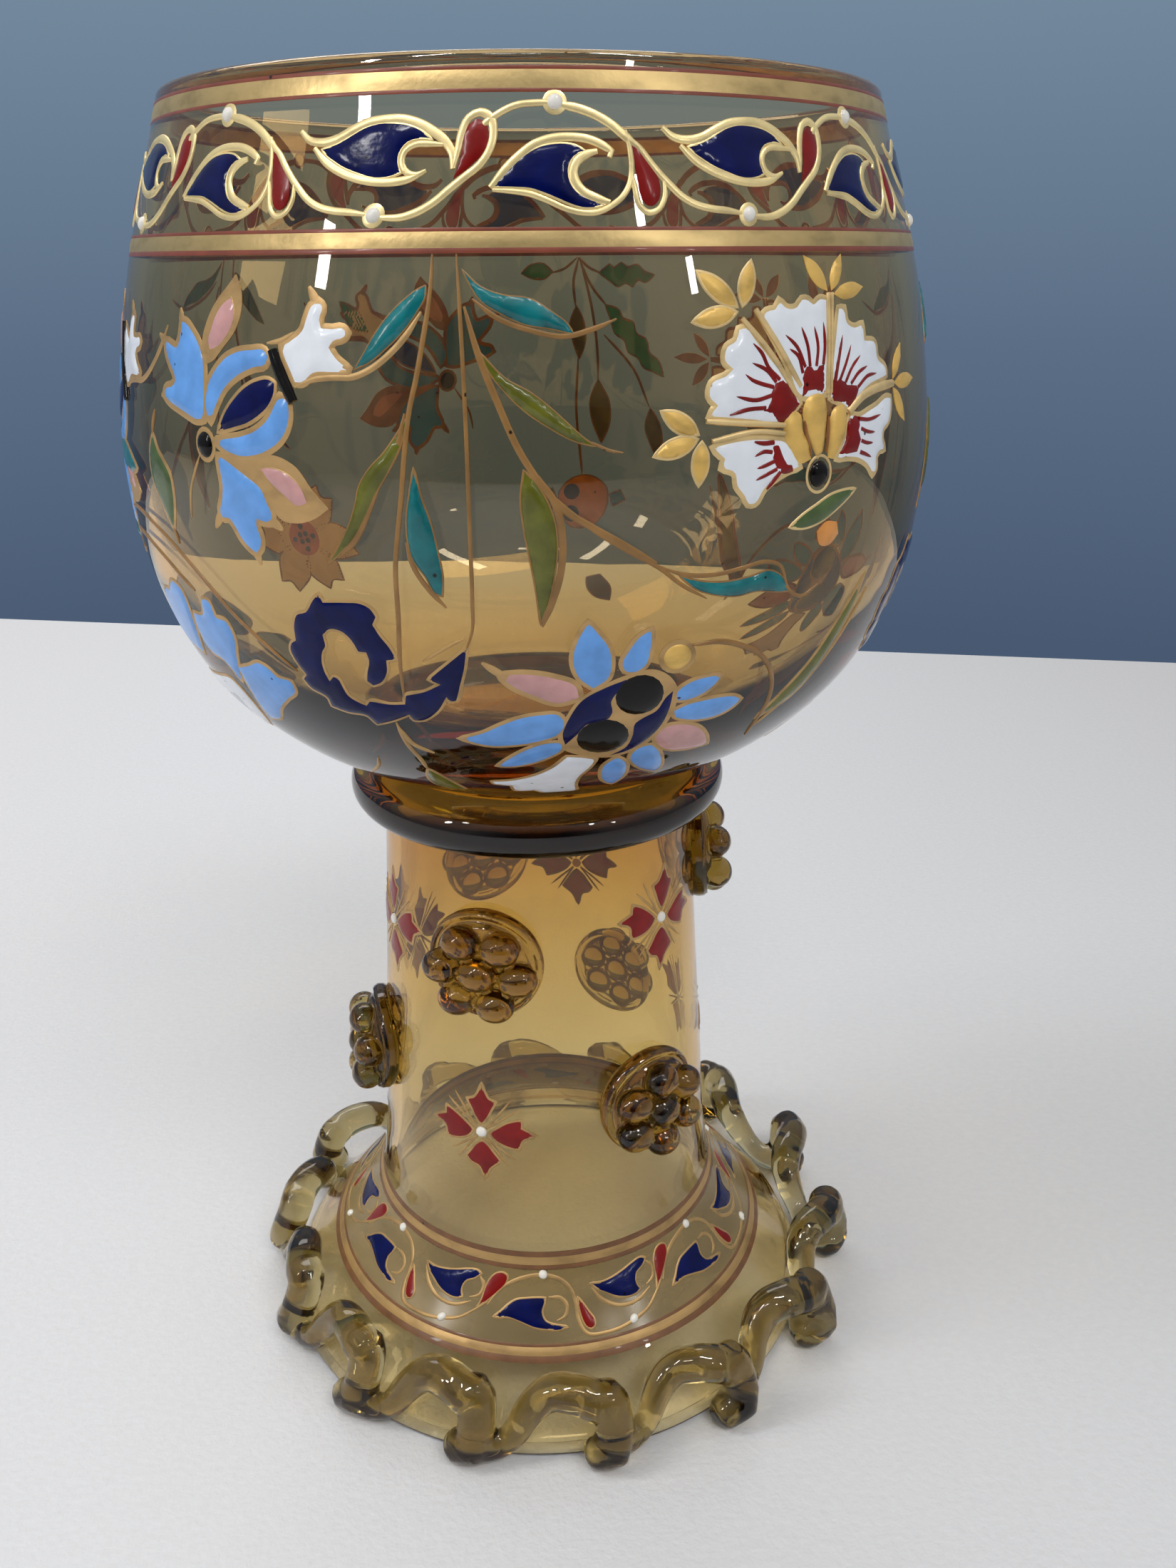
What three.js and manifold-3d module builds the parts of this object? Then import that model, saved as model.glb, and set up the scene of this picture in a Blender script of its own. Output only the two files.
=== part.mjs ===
// Roemer: a wine glass with a round bowl on a wide hollow stem that flares into its foot.
// A thick ring is laid round the joint of bowl and stem, a wavy thread runs round the foot,
// and raspberry prunts sit in two rows on the stem. Millimetres, +Z up, origin at the centre
// of the ring that the foot stands on. Azimuth 0 faces -Y, and 90 degrees faces +X.

import * as THREE from 'three';
import { mergeVertices } from 'three/addons/utils/BufferGeometryUtils.js';
import Module from 'manifold-3d';

// Heights
const overallHeight = 155;
const bowlBottom = 82;
const collarBottom = 75.6;
const collarTop = 81.4;
const stemFootHeight = 24.5;

// Radii
const rimRadius = 38;
const bowlRadius = 45.4;
const collarRadius = 23.8;
const stemTopRadius = 19.7;
const stemFootRadius = 22.8;
const footRadius = 37.5;
const heelRounding = 0.5;

// Glass thicknesses
const bowlWall = 1.8;
const bowlBottomWall = 4.8;
const stemWall = 2;
const jointGap = 0.3;

// Thread round the foot: a round rod that waves between the slope of the foot and the table
const threadRadius = 2.15;
const threadWaves = 14;
const waveCrest = { radius: 35.6, height: 7.7 };
const waveTrough = { radius: 40.4, height: 2.6 };
const waveLean = 2.5;
const waveBulge = 0.45;
const waveRadius = 38;
const threadStart = 180;
const threadEndGap = 0.5;

// Prunts: a round pad of glass that carries a ring of berries and one in the middle
const pruntRadius = 6.6;
const pruntThickness = 3;
const berryRadius = 1.95;
const berryRing = 3.7;
const berriesInRing = 6;
const berryHeight = 3.75;
const berryDrop = 0.7;
const prunts = [
  { azimuth: -19, height: 60.5, spin: 8 },
  { azimuth: 97, height: 65.5, spin: 24 },
  { azimuth: -156, height: 57, spin: 0 },
  { azimuth: -80, height: 41, spin: 15 },
  { azimuth: 37, height: 39, spin: 30 },
  { azimuth: 148, height: 38, spin: 20 },
];

// Fineness
const lathedSides = 44;
const bowlSteps = 12;
const flareSteps = 9;
const collarSteps = 6;
const threadSides = 8;
const stepsPerWave = 12;
const pruntSides = 12;
const berrySides = 7;
const berryRings = 5;

const wasm = await Module();
wasm.setup();

const pageToUp = new THREE.Matrix4().makeRotationX(Math.PI / 2);
const degrees = THREE.MathUtils.degToRad;
const point = (radius, height) => new THREE.Vector2(radius, height);

// Closed body of revolution from a profile that runs up the outside and down the inside
function lathed(profile) {
  return new THREE.LatheGeometry(profile, lathedSides).applyMatrix4(pageToUp);
}

// The same line moved towards the inside of the glass by the wall's own thickness at each point
function insideOf(outside, thicknessAt) {
  return outside.map((here, index) => {
    const before = outside[Math.max(index - 1, 0)];
    const after = outside[Math.min(index + 1, outside.length - 1)];
    const along = after.clone().sub(before).normalize();
    const inward = point(-along.y, along.x);
    return here.clone().addScaledVector(inward, thicknessAt(index / (outside.length - 1)));
  });
}

// Bowl: thick at the bottom, thin at the lip, with a nearly flat floor inside
function bowlGeometry() {
  const lipRadius = bowlWall / 2;
  const outside = new THREE.SplineCurve([
    point(20.5, bowlBottom + 0.4),
    point(31.2, 88.1),
    point(38.8, 95.6),
    point(43.5, 105.6),
    point(bowlRadius, 118.2),
    point(43.7, 134),
    point(rimRadius, overallHeight - lipRadius),
  ]).getPoints(bowlSteps);
  const thickness = (t) =>
    THREE.MathUtils.lerp(bowlBottomWall, bowlWall, THREE.MathUtils.smoothstep(t, 0, 0.45));
  const inside = insideOf(outside, thickness).slice(0, -1).reverse();
  const lip = [45, 90, 135, 180].map((angle) => {
    const turn = degrees(angle);
    const radius = rimRadius - lipRadius + lipRadius * Math.cos(turn);
    return point(radius, overallHeight - lipRadius + lipRadius * Math.sin(turn));
  });
  return lathed([
    point(0, bowlBottom),
    point(stemTopRadius - 1, bowlBottom),
    ...outside,
    ...lip,
    ...inside,
    point(0, bowlBottom + bowlBottomWall),
  ]);
}

// Stem and foot are one blown piece: a nearly straight tube that flares to the foot's rim,
// open beneath, standing on the flat ring where the rim touches the table
function stemFootGeometry() {
  const top = collarTop + jointGap;
  const flare = new THREE.SplineCurve([
    point(footRadius, 1.4),
    point(34.6, 5),
    point(30, 10.3),
    point(26.4, 14.6),
    point(23.9, 18.6),
    point(stemFootRadius, stemFootHeight),
  ]).getPoints(flareSteps);
  const outside = [...flare, point(stemTopRadius, collarBottom), point(stemTopRadius, top)];
  const inside = insideOf(outside, () => stemWall).reverse();
  inside[0].y = top;
  const heel = point(inside.pop().x - heelRounding, 0);
  return lathed([
    heel,
    point(footRadius - heelRounding, 0),
    point(footRadius, heelRounding),
    ...outside,
    ...inside,
    heel,
  ]);
}

// Ring of thick glass laid round the joint of bowl and stem, lens-shaped in section
function collarGeometry() {
  const innerRadius = stemTopRadius + jointGap;
  const middle = (collarBottom + collarTop) / 2;
  const belly = new THREE.SplineCurve([
    point(innerRadius + 0.8, collarBottom),
    point(22.9, collarBottom + 0.9),
    point(collarRadius, middle),
    point(23.1, collarTop - 0.9),
    point(innerRadius + 1.4, collarTop),
  ]).getPoints(collarSteps);
  const start = point(innerRadius, collarBottom);
  return lathed([start, ...belly, point(innerRadius, collarTop), start]);
}

// Path of the foot's thread. Every wave rises up the slope, leans forward and falls to the table.
class WavyThread extends THREE.Curve {
  getPoint(t, target = new THREE.Vector3()) {
    const gapWaves = (threadEndGap / (2 * Math.PI * waveRadius)) * threadWaves;
    const wave = t * (threadWaves - gapWaves);
    const turn = 2 * Math.PI * wave;
    const rise = 0.5 + 0.5 * Math.cos(turn);
    const drift = (waveLean * (rise - 1) + waveBulge * Math.sin(2 * turn)) / waveRadius;
    const angle = degrees(threadStart - 90) + turn / threadWaves + drift;
    const radius = THREE.MathUtils.lerp(waveTrough.radius, waveCrest.radius, rise);
    const height = THREE.MathUtils.lerp(waveTrough.height, waveCrest.height, rise);
    return target.set(radius * Math.cos(angle), radius * Math.sin(angle), height);
  }
}

// Least distance between two stretches of the thread, less its thickness
function leastThreadGap(path) {
  const samples = path.getSpacedPoints(threadWaves * 60);
  const step = path.getLength() / (samples.length - 1);
  const apart = Math.ceil((Math.PI * threadRadius * 1.1) / step);
  let least = Infinity;
  samples.forEach((here, index) => {
    const last = Math.min(index + 4 * apart, samples.length - 1);
    for (let other = index + apart; other <= last; other += 1) {
      least = Math.min(least, here.distanceTo(samples[other]));
    }
  });
  return least - 2 * threadRadius;
}

function threadGeometry() {
  const path = new WavyThread();
  const section = new THREE.Shape(
    Array.from({ length: threadSides }, (_, side) => {
      const turn = (2 * Math.PI * side) / threadSides;
      return point(threadRadius * Math.cos(turn), threadRadius * Math.sin(turn));
    }),
  );
  console.log(`foot thread: least gap to itself ${leastThreadGap(path).toFixed(2)} mm`);
  return new THREE.ExtrudeGeometry(section, {
    extrudePath: path,
    steps: threadWaves * stepsPerWave,
    bevelEnabled: false,
  });
}

// Outer radius of the stem's straight stretch at a height
function stemRadiusAt(height) {
  return THREE.MathUtils.mapLinear(height, stemFootHeight, collarBottom, stemFootRadius, stemTopRadius);
}

function solidOf(geometry) {
  geometry.deleteAttribute('normal');
  geometry.deleteAttribute('uv');
  const merged = mergeVertices(geometry);
  const mesh = new wasm.Mesh({
    numProp: 3,
    vertProperties: merged.getAttribute('position').array,
    triVerts: new Uint32Array(merged.getIndex().array),
  });
  return new wasm.Manifold(mesh);
}

function geometryOf(solid) {
  const mesh = solid.getMesh();
  const geometry = new THREE.BufferGeometry();
  geometry.setAttribute('position', new THREE.BufferAttribute(mesh.vertProperties, 3));
  geometry.setIndex(new THREE.BufferAttribute(mesh.triVerts, 1));
  return geometry;
}

// Prunt laid flat: X runs round the stem, Y up it, and Z away from the glass
function flatPrunt(spin) {
  const pad = new THREE.LatheGeometry(
    [
      point(0, 0),
      point(pruntRadius * 0.45, 0),
      point(pruntRadius * 0.93, 0),
      point(pruntRadius, pruntThickness * 0.4),
      point(pruntRadius * 0.93, pruntThickness * 0.8),
      point(pruntRadius * 0.7, pruntThickness),
      point(0, pruntThickness),
    ],
    pruntSides,
  ).applyMatrix4(pageToUp);
  const ringPlaces = Array.from({ length: berriesInRing }, (_, index) => {
    const turn = degrees(spin) + (2 * Math.PI * index) / berriesInRing;
    return point(berryRing * Math.cos(turn), berryRing * Math.sin(turn) - berryDrop);
  });
  return [point(0, -berryDrop), ...ringPlaces].reduce((body, place) => {
    const berry = new THREE.SphereGeometry(berryRadius, berrySides, berryRings).applyMatrix4(pageToUp);
    berry.translate(place.x, place.y, berryHeight);
    return body.add(solidOf(berry));
  }, solidOf(pad));
}

// Lays the flat prunt round the stem at its place
function pruntGeometry({ azimuth, height, spin }) {
  const geometry = geometryOf(flatPrunt(spin));
  const positions = geometry.getAttribute('position');
  const radiusHere = stemRadiusAt(height);
  for (let index = 0; index < positions.count; index += 1) {
    const up = height + positions.getY(index);
    const radius = stemRadiusAt(up) + jointGap + positions.getZ(index);
    const angle = degrees(azimuth - 90) + positions.getX(index) / radiusHere;
    positions.setXYZ(index, radius * Math.cos(angle), radius * Math.sin(angle), up);
  }
  return geometry;
}

function piece(name, geometry, color, roughness = 0.05) {
  const mesh = new THREE.Mesh(geometry, new THREE.MeshStandardMaterial({ color, roughness, metalness: 0 }));
  mesh.name = name;
  return mesh;
}

const roemer = new THREE.Group();
roemer.add(
  piece('bowl', bowlGeometry(), 0xccc49a),
  piece('collar_ring', collarGeometry(), 0x6b3f14),
  piece('stem_foot', stemFootGeometry(), 0xd2b36a),
  piece('foot_thread', threadGeometry(), 0x9b8c5f),
  ...prunts.map((place, index) => piece(`prunt_${index + 1}`, pruntGeometry(place), 0xa08c50)),
);

export default roemer;
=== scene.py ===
"""A roemer of blown amber glass, gilded and enamelled, on a pale table in soft light.

Sizes are millimetres in the classes and metres in the meshes. Azimuth 0 faces the camera (-Y), and 90
faces +X. A motif is drawn flat, in millimetres across (x) and up (y) from a point on the glass, and then
laid on it.
"""

import logging
import random
from collections.abc import Callable, Iterable, Iterator, Sequence
from contextlib import contextmanager
from dataclasses import dataclass, field
from enum import Enum
from functools import cache
from math import acos, ceil, copysign, cos, degrees, pi, radians, sin, sqrt

import bpy
import numpy as np
from mathutils import Matrix, Vector
from mathutils.geometry import delaunay_2d_cdt


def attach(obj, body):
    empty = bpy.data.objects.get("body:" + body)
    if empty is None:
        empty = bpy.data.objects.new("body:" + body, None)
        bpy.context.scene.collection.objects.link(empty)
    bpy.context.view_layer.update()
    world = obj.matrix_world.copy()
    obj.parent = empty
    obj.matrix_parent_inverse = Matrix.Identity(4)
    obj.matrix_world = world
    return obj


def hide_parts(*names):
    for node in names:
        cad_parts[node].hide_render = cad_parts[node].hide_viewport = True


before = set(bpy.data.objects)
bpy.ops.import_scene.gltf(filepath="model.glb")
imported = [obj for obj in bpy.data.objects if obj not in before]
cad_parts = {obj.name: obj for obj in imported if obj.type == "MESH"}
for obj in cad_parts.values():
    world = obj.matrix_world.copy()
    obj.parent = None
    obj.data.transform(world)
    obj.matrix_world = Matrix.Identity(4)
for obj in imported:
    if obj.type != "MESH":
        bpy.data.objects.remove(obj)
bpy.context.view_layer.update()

MM = 0.001
BODY = "root"
Point = tuple[float, float]
Point3 = tuple[float, float, float]
Shade = Point3
Stop = tuple[float, Shade]
Socket = bpy.types.NodeSocket
Piece = bpy.types.Object

EVEN: Point3 = (1.0, 1.0, 1.0)
CLEAR: Shade = (1.0, 1.0, 1.0)
GLASS_IOR = 1.5
SHARP_TURN = 62.0
NO_CORNERS = 180.0
OUTLINE_STEP = 1.2

logging.basicConfig(level=logging.INFO, format="%(name)s: %(message)s")
log = logging.getLogger("roemer")


# Finishes


class NodeBench:
    """Lays out the nodes of one procedural material, or of the room."""

    def __init__(self, owner: bpy.types.Material | bpy.types.World) -> None:
        """Start with nothing but the coordinates.

        Args:
            owner: What the nodes belong to.
        """
        owner.use_nodes = True
        self.tree = owner.node_tree
        self.tree.nodes.clear()
        self.coordinates = self.add("ShaderNodeTexCoord").outputs

    def add(self, kind: str, **settings: object) -> bpy.types.Node:
        """Add a node and set its plain settings."""
        node = self.tree.nodes.new(kind)
        for key, value in settings.items():
            setattr(node, key, value)
        return node

    def wire(self, node: bpy.types.Node, **inputs: object) -> bpy.types.Node:
        """Fill a node's inputs: another node's socket is linked, and a constant is set.

        Args:
            node: The node.
            inputs: What goes into each input, with underscores for the spaces of its name.

        Returns:
            The node.
        """
        for key, value in inputs.items():
            socket = node.inputs[key.replace("_", " ")]
            if isinstance(value, Socket):
                self.tree.links.new(value, socket)
            else:
                socket.default_value = value
        return node

    def noise(self, scale: float, detail: float = 3.0, stretch: Point3 = EVEN) -> Socket:
        """Noise over the piece.

        Args:
            scale: Features per metre.
            detail: Octaves.
            stretch: Scale along each axis.

        Returns:
            The noise value's socket.
        """
        mapping = self.wire(self.add("ShaderNodeMapping"), Vector=self.coordinates["Object"], Scale=stretch)
        noise = self.add("ShaderNodeTexNoise")
        return self.wire(noise, Vector=mapping.outputs["Vector"], Scale=scale, Detail=detail).outputs["Fac"]

    def specks(self, scale: float) -> Socket:
        """Distance to the nearest of scattered points, for pinholes and flecks."""
        cells = self.add("ShaderNodeTexVoronoi")
        return self.wire(cells, Vector=self.coordinates["Object"], Scale=scale).outputs["Distance"]

    def spread(self, value: Socket, to: Point = (0.0, 1.0), of: Point = (0.0, 1.0)) -> Socket:
        """A value's range spread over another.

        Args:
            value: The value.
            to: Ends of the new range.
            of: Ends of its own range.

        Returns:
            The new value's socket.
        """
        node = self.add("ShaderNodeMapRange")
        self.wire(node, Value=value, From_Min=of[0], From_Max=of[1], To_Min=to[0], To_Max=to[1])
        return node.outputs["Result"]

    def shades(self, value: Socket, *stops: Stop) -> Socket:
        """Colour by a value.

        Args:
            value: The value that picks the colour.
            stops: Place and colour of each stop.

        Returns:
            The colour's socket.
        """
        ramp = self.add("ShaderNodeValToRGB")
        elements = ramp.color_ramp.elements
        while len(elements) < len(stops):
            elements.new(0.5)
        for element, (place, colour) in zip(elements, stops):
            element.position, element.color = place, (*colour, 1.0)
        return self.wire(ramp, Fac=value).outputs["Color"]

    def multiply(self, one: Socket, other: Socket) -> Socket:
        """One colour laid over another like a filter."""
        mix = self.add("ShaderNodeMix", data_type="RGBA", blend_type="MULTIPLY")
        return self.wire(mix, Factor=1.0, A=one, B=other).outputs["Result"]

    def along(self, axis: int, stops: Sequence[Stop]) -> Socket:
        """Colour by the place along an axis of the piece.

        Args:
            axis: 0 for x, 1 for y and 2 for height.
            stops: Place in millimetres and colour of each stop, in order.

        Returns:
            The colour's socket.
        """
        low, high = stops[0][0], stops[-1][0]
        split = self.wire(self.add("ShaderNodeSeparateXYZ"), Vector=self.coordinates["Object"])
        share = self.spread(split.outputs[axis], of=(low * MM, high * MM))
        return self.shades(share, *(((place - low) / (high - low), shade) for place, shade in stops))


class MaterialBench(NodeBench):
    """Lays out the nodes of one material around a Principled shader."""

    def __init__(self, name: str) -> None:
        """Start an empty material.

        Args:
            name: The finish's name.
        """
        self.material = bpy.data.materials.new(name)
        super().__init__(self.material)
        self.shader = self.add("ShaderNodeBsdfPrincipled")
        self.output = self.wire(self.add("ShaderNodeOutputMaterial"), Surface=self.shader.outputs["BSDF"])

    def dress(self, **inputs: object) -> None:
        """Fill the shader's own sockets."""
        self.wire(self.shader, **inputs)

    def relief(self, value: Socket, depth: float, strength: float = 0.5) -> None:
        """Give the surface a fine relief.

        Args:
            value: The relief's height, 0..1.
            depth: Its full height in millimetres.
            strength: How much of it shows.
        """
        bump = self.wire(self.add("ShaderNodeBump"), Strength=strength, Distance=depth * MM, Height=value)
        self.dress(Normal=bump.outputs["Normal"])


def tinted(shade: Shade, factor: float) -> Shade:
    """A shade made lighter or darker by a factor."""
    return tuple(min(1.0, channel * factor) for channel in shade)


@dataclass(frozen=True)
class GlassFinish:
    """Clear coloured glass, blown by hand.

    Attributes:
        name: The finish's name.
        taken: What a millimetre of it takes from red, green and blue light.
        ripple: Depth of its slow waves in millimetres.
        cords: Scale of the waves along each axis.
        tint: Colour by height in millimetres, from the lowest up, where it isn't even; the pieces use it
            partly for painted shade.
        gloss: How strongly it mirrors.
        waves: Slow waves per metre.
        dim: Colour of its least clear streaks.
        headroom: Density of the absorption over the strongest that a channel needs.
    """

    name: str
    taken: Shade
    ripple: float = 0.02
    cords: Point3 = EVEN
    tint: Sequence[Stop] = ()
    gloss: float = 0.5
    waves: float = 55.0
    dim: Shade = (0.965, 0.965, 0.96)
    headroom: float = 1.25

    def material(self) -> bpy.types.Material:
        """Mix the glass.

        Returns:
            A glass with a plain absorption inside.
        """
        bench = MaterialBench(self.name)
        slow = bench.noise(self.waves, 2.0, self.cords)
        colour = bench.shades(slow, (0.3, self.dim), (0.7, CLEAR))
        if self.tint:
            colour = bench.multiply(colour, bench.along(2, self.tint))
        bench.dress(
            Base_Color=colour, Roughness=bench.spread(slow, (0.0, 0.012)), Transmission_Weight=1.0,
            IOR=GLASS_IOR, Specular_IOR_Level=self.gloss,
        )
        bench.relief(slow, self.ripple, 0.35)
        density = self.headroom * max(self.taken) / MM
        passed = (*(1.0 - channel / MM / density for channel in self.taken), 1.0)
        inside = bench.wire(bench.add("ShaderNodeVolumeAbsorption"), Density=density, Color=passed)
        bench.wire(bench.output, Volume=inside.outputs["Volume"])
        return bench.material


@dataclass(frozen=True)
class EnamelFinish:
    """Opaque fired enamel, thickly laid and glossy, with a few pinholes.

    Attributes:
        name: The finish's name.
        shade: Its colour.
        wander: How far its shade wanders.
        roughness: Its mean roughness.
        gloss: How strongly it mirrors.
        mottles: Mottles per metre.
        pinholes: Pinholes per metre.
    """

    name: str
    shade: Shade
    wander: float = 0.14
    roughness: float = 0.2
    gloss: float = 0.36
    mottles: float = 420.0
    pinholes: float = 330.0

    def material(self) -> bpy.types.Material:
        """Mix the enamel.

        Returns:
            A glossy opaque paint, mottled, with pinholes.
        """
        bench = MaterialBench(self.name)
        pale, dark = tinted(self.shade, 1.0 + self.wander), tinted(self.shade, 1.0 - self.wander)
        body = bench.shades(bench.noise(self.mottles, 4.0), (0.3, dark), (0.7, pale))
        holes = bench.shades(bench.specks(self.pinholes), (0.045, tinted(self.shade, 0.12)), (0.075, CLEAR))
        bench.dress(
            Base_Color=bench.multiply(body, holes),
            Roughness=bench.spread(bench.noise(900.0), (self.roughness - 0.08, self.roughness + 0.1)),
            IOR=GLASS_IOR, Specular_IOR_Level=self.gloss, Coat_Weight=0.4 * self.gloss, Coat_Roughness=0.04,
        )
        bench.relief(bench.noise(1100.0, 2.0), 0.06, 0.4)
        return bench.material


@dataclass(frozen=True)
class GiltFinish:
    """Fired gold, burnished or left matt, brushed on and a little worn.

    Attributes:
        name: The finish's name.
        shade: Its colour.
        metal: How metallic it is.
        roughness: Its mean roughness.
        streaks: Brush streaks per metre.
    """

    name: str
    shade: Shade
    metal: float = 1.0
    roughness: float = 0.34
    streaks: float = 260.0

    def material(self) -> bpy.types.Material:
        """Mix the gold.

        Returns:
            A soft gold with streaks and thin places.
        """
        bench = MaterialBench(self.name)
        streaks = bench.noise(self.streaks, 5.0, (1.0, 1.0, 2.2))
        thin, thick = tinted(self.shade, 0.68), tinted(self.shade, 1.14)
        bench.dress(
            Base_Color=bench.shades(streaks, (0.28, thin), (0.5, self.shade), (0.72, thick)),
            Metallic=self.metal,
            Roughness=bench.spread(streaks, (self.roughness + 0.12, self.roughness - 0.1)),
        )
        bench.relief(bench.noise(1500.0, 3.0), 0.05, 0.5)
        return bench.material


@dataclass(frozen=True)
class LustreFinish:
    """A thin see-through wash of lustre on the glass.

    Attributes:
        name: The finish's name.
        shade: Its colour.
        clear: How much light it lets through.
        streaks: Brush streaks per metre.
    """

    name: str
    shade: Shade
    clear: float = 0.6
    streaks: float = 70.0

    def material(self) -> bpy.types.Material:
        """Mix the wash.

        Returns:
            A streaky film that is partly clear.
        """
        bench = MaterialBench(self.name)
        streaks = bench.noise(self.streaks, 4.0, (1.0, 1.0, 3.0))
        bench.dress(
            Base_Color=bench.shades(streaks, (0.3, tinted(self.shade, 0.75)), (0.7, tinted(self.shade, 1.2))),
            Roughness=bench.spread(streaks, (0.12, 0.3)), Transmission_Weight=self.clear, IOR=GLASS_IOR,
        )
        return bench.material


class Paint(Enum):
    """What the painter's brush holds."""

    GILT = GiltFinish("pale_gilt", (0.9, 0.72, 0.35), 0.55, 0.34)
    BAND = GiltFinish("matt_gilt", (0.62, 0.45, 0.2), 0.82, 0.38)
    SOFT_GOLD = GiltFinish("soft_gold", (0.72, 0.53, 0.25), 0.45, 0.42)
    DULL_GOLD = GiltFinish("dull_gold", (0.46, 0.29, 0.115), 0.5, 0.42)
    TRACING = GiltFinish("gold_brown_tracing", (0.5, 0.315, 0.13), 0.5, 0.42)
    TREFOIL = GiltFinish("ochre_gold", (0.74, 0.47, 0.12), 0.25, 0.4)
    BOLE = EnamelFinish("brown_underside_of_gold", (0.3, 0.14, 0.05), 0.2, 0.45)
    STEM = EnamelFinish("brown_stem_line", (0.27, 0.14, 0.04), 0.2, 0.35)
    RED_LINE = EnamelFinish("brick_red_line", (0.21, 0.05, 0.028), 0.15, 0.35)
    BROWN_LINE = EnamelFinish("brown_band_line", (0.17, 0.075, 0.03), 0.2, 0.4)
    NAVY = EnamelFinish("navy_enamel", (0.001, 0.004, 0.062), 0.3, 0.14, 0.16)
    SKY = EnamelFinish("sky_blue_enamel", (0.13, 0.34, 0.76))
    # The undersides of blue, navy, red and dark green are brighter copies of their top paints: painted light,
    # standing in for the light that reaches them through the enamel and the glass.
    SKY_UNDER = EnamelFinish("sky_blue_underside", (0.05, 0.3, 1.0), 0.05)
    NAVY_UNDER = EnamelFinish("navy_underside", (0.008, 0.05, 0.55), 0.1)
    RED_UNDER = EnamelFinish("red_underside", (0.42, 0.03, 0.02), 0.1)
    WHITE = EnamelFinish("white_enamel", (0.78, 0.82, 0.88), 0.05)
    PINK = EnamelFinish("pink_enamel", (0.56, 0.3, 0.29))
    ROSE = EnamelFinish("rose_enamel", (0.62, 0.22, 0.16), 0.15)
    RED = EnamelFinish("red_enamel", (0.2, 0.006, 0.005), 0.2, 0.22, 0.22)
    TURQUOISE = EnamelFinish("turquoise_enamel", (0.004, 0.145, 0.16), 0.3)
    OLIVE = EnamelFinish("olive_enamel", (0.11, 0.115, 0.012), 0.3)
    LEAF_GREEN = EnamelFinish("leaf_green_enamel", (0.07, 0.115, 0.035), 0.25)
    GREEN = EnamelFinish("dark_green_enamel", (0.014, 0.07, 0.03), 0.25)
    GREEN_UNDER = EnamelFinish("dark_green_underside", (0.015, 0.3, 0.16), 0.2)
    BLACK = EnamelFinish("black_enamel", (0.003, 0.002, 0.002), 0.3, 0.12, 0.2)
    CREAM = EnamelFinish("cream_enamel", (0.95, 0.92, 0.78), 0.06)
    ORANGE = EnamelFinish("orange_enamel", (0.6, 0.25, 0.06), 0.2)
    PEARL = EnamelFinish("pearl_white", (0.8, 0.78, 0.72), 0.04, 0.12)
    LUSTRE = LustreFinish("gold_brown_lustre", (0.46, 0.34, 0.15))


GOLDS = (Paint.GILT, Paint.BAND, Paint.SOFT_GOLD, Paint.DULL_GOLD, Paint.TRACING, Paint.TREFOIL)
# Bole under the gold is the back of the gilding; the other undersides are painted light.
UNDERSIDES = {
    **{gold: Paint.BOLE for gold in GOLDS}, Paint.SKY: Paint.SKY_UNDER, Paint.GREEN: Paint.GREEN_UNDER,
    Paint.NAVY: Paint.NAVY_UNDER, Paint.RED: Paint.RED_UNDER,
}
DEPTHS = {
    **{gold: 0.05 for gold in GOLDS}, Paint.NAVY: 0.11, Paint.PINK: 0.11, Paint.ROSE: 0.11, Paint.BLACK: 0.15,
}
DEPTH = 0.08
FAR_BELOW = 100.0

Finish = GlassFinish | EnamelFinish | GiltFinish | LustreFinish


@cache
def mixed(finish: Finish) -> bpy.types.Material:
    """The material of a finish, mixed on first use."""
    return finish.material()


# Bench work


def put_down() -> None:
    """Leave edit mode and deselect everything."""
    if bpy.context.object is not None and bpy.context.object.mode != "OBJECT":
        bpy.ops.object.mode_set(mode="OBJECT")
    bpy.ops.object.select_all(action="DESELECT")


def take_up(piece: Piece) -> None:
    """Make a piece the only selected one and the active one."""
    put_down()
    piece.select_set(True)
    bpy.context.view_layer.objects.active = piece


def apply_place() -> None:
    """Bring the active piece's place, turn and size into its mesh."""
    bpy.ops.object.transform_apply(location=True, rotation=True, scale=True)


@contextmanager
def whole_mesh() -> Iterator[None]:
    """Edit the active piece with all of it selected, and leave its faces turned outwards."""
    bpy.ops.object.mode_set(mode="EDIT")
    bpy.ops.mesh.select_all(action="SELECT")
    yield
    bpy.ops.mesh.select_all(action="SELECT")
    bpy.ops.mesh.normals_make_consistent(inside=False)
    bpy.ops.object.mode_set(mode="OBJECT")


def points_of(piece: Piece) -> np.ndarray:
    """The points of a piece in millimetres, one a row."""
    flat = np.zeros(len(piece.data.vertices) * 3)
    piece.data.vertices.foreach_get("co", flat)
    return flat.reshape(-1, 3) / MM


def move_points(piece: Piece, places: np.ndarray) -> None:
    """Move the points of a piece to places in metres."""
    piece.data.vertices.foreach_set("co", places.ravel())
    piece.data.update()


def join_up(name: str, pieces: Sequence[Piece]) -> Piece:
    """Join pieces into one.

    Args:
        name: The joined piece's name.
        pieces: The pieces, the first of which takes in the others.

    Returns:
        The joined piece.
    """
    take_up(pieces[0])
    for piece in pieces:
        piece.select_set(True)
    bpy.ops.object.join()
    pieces[0].name = name
    return pieces[0]


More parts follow.
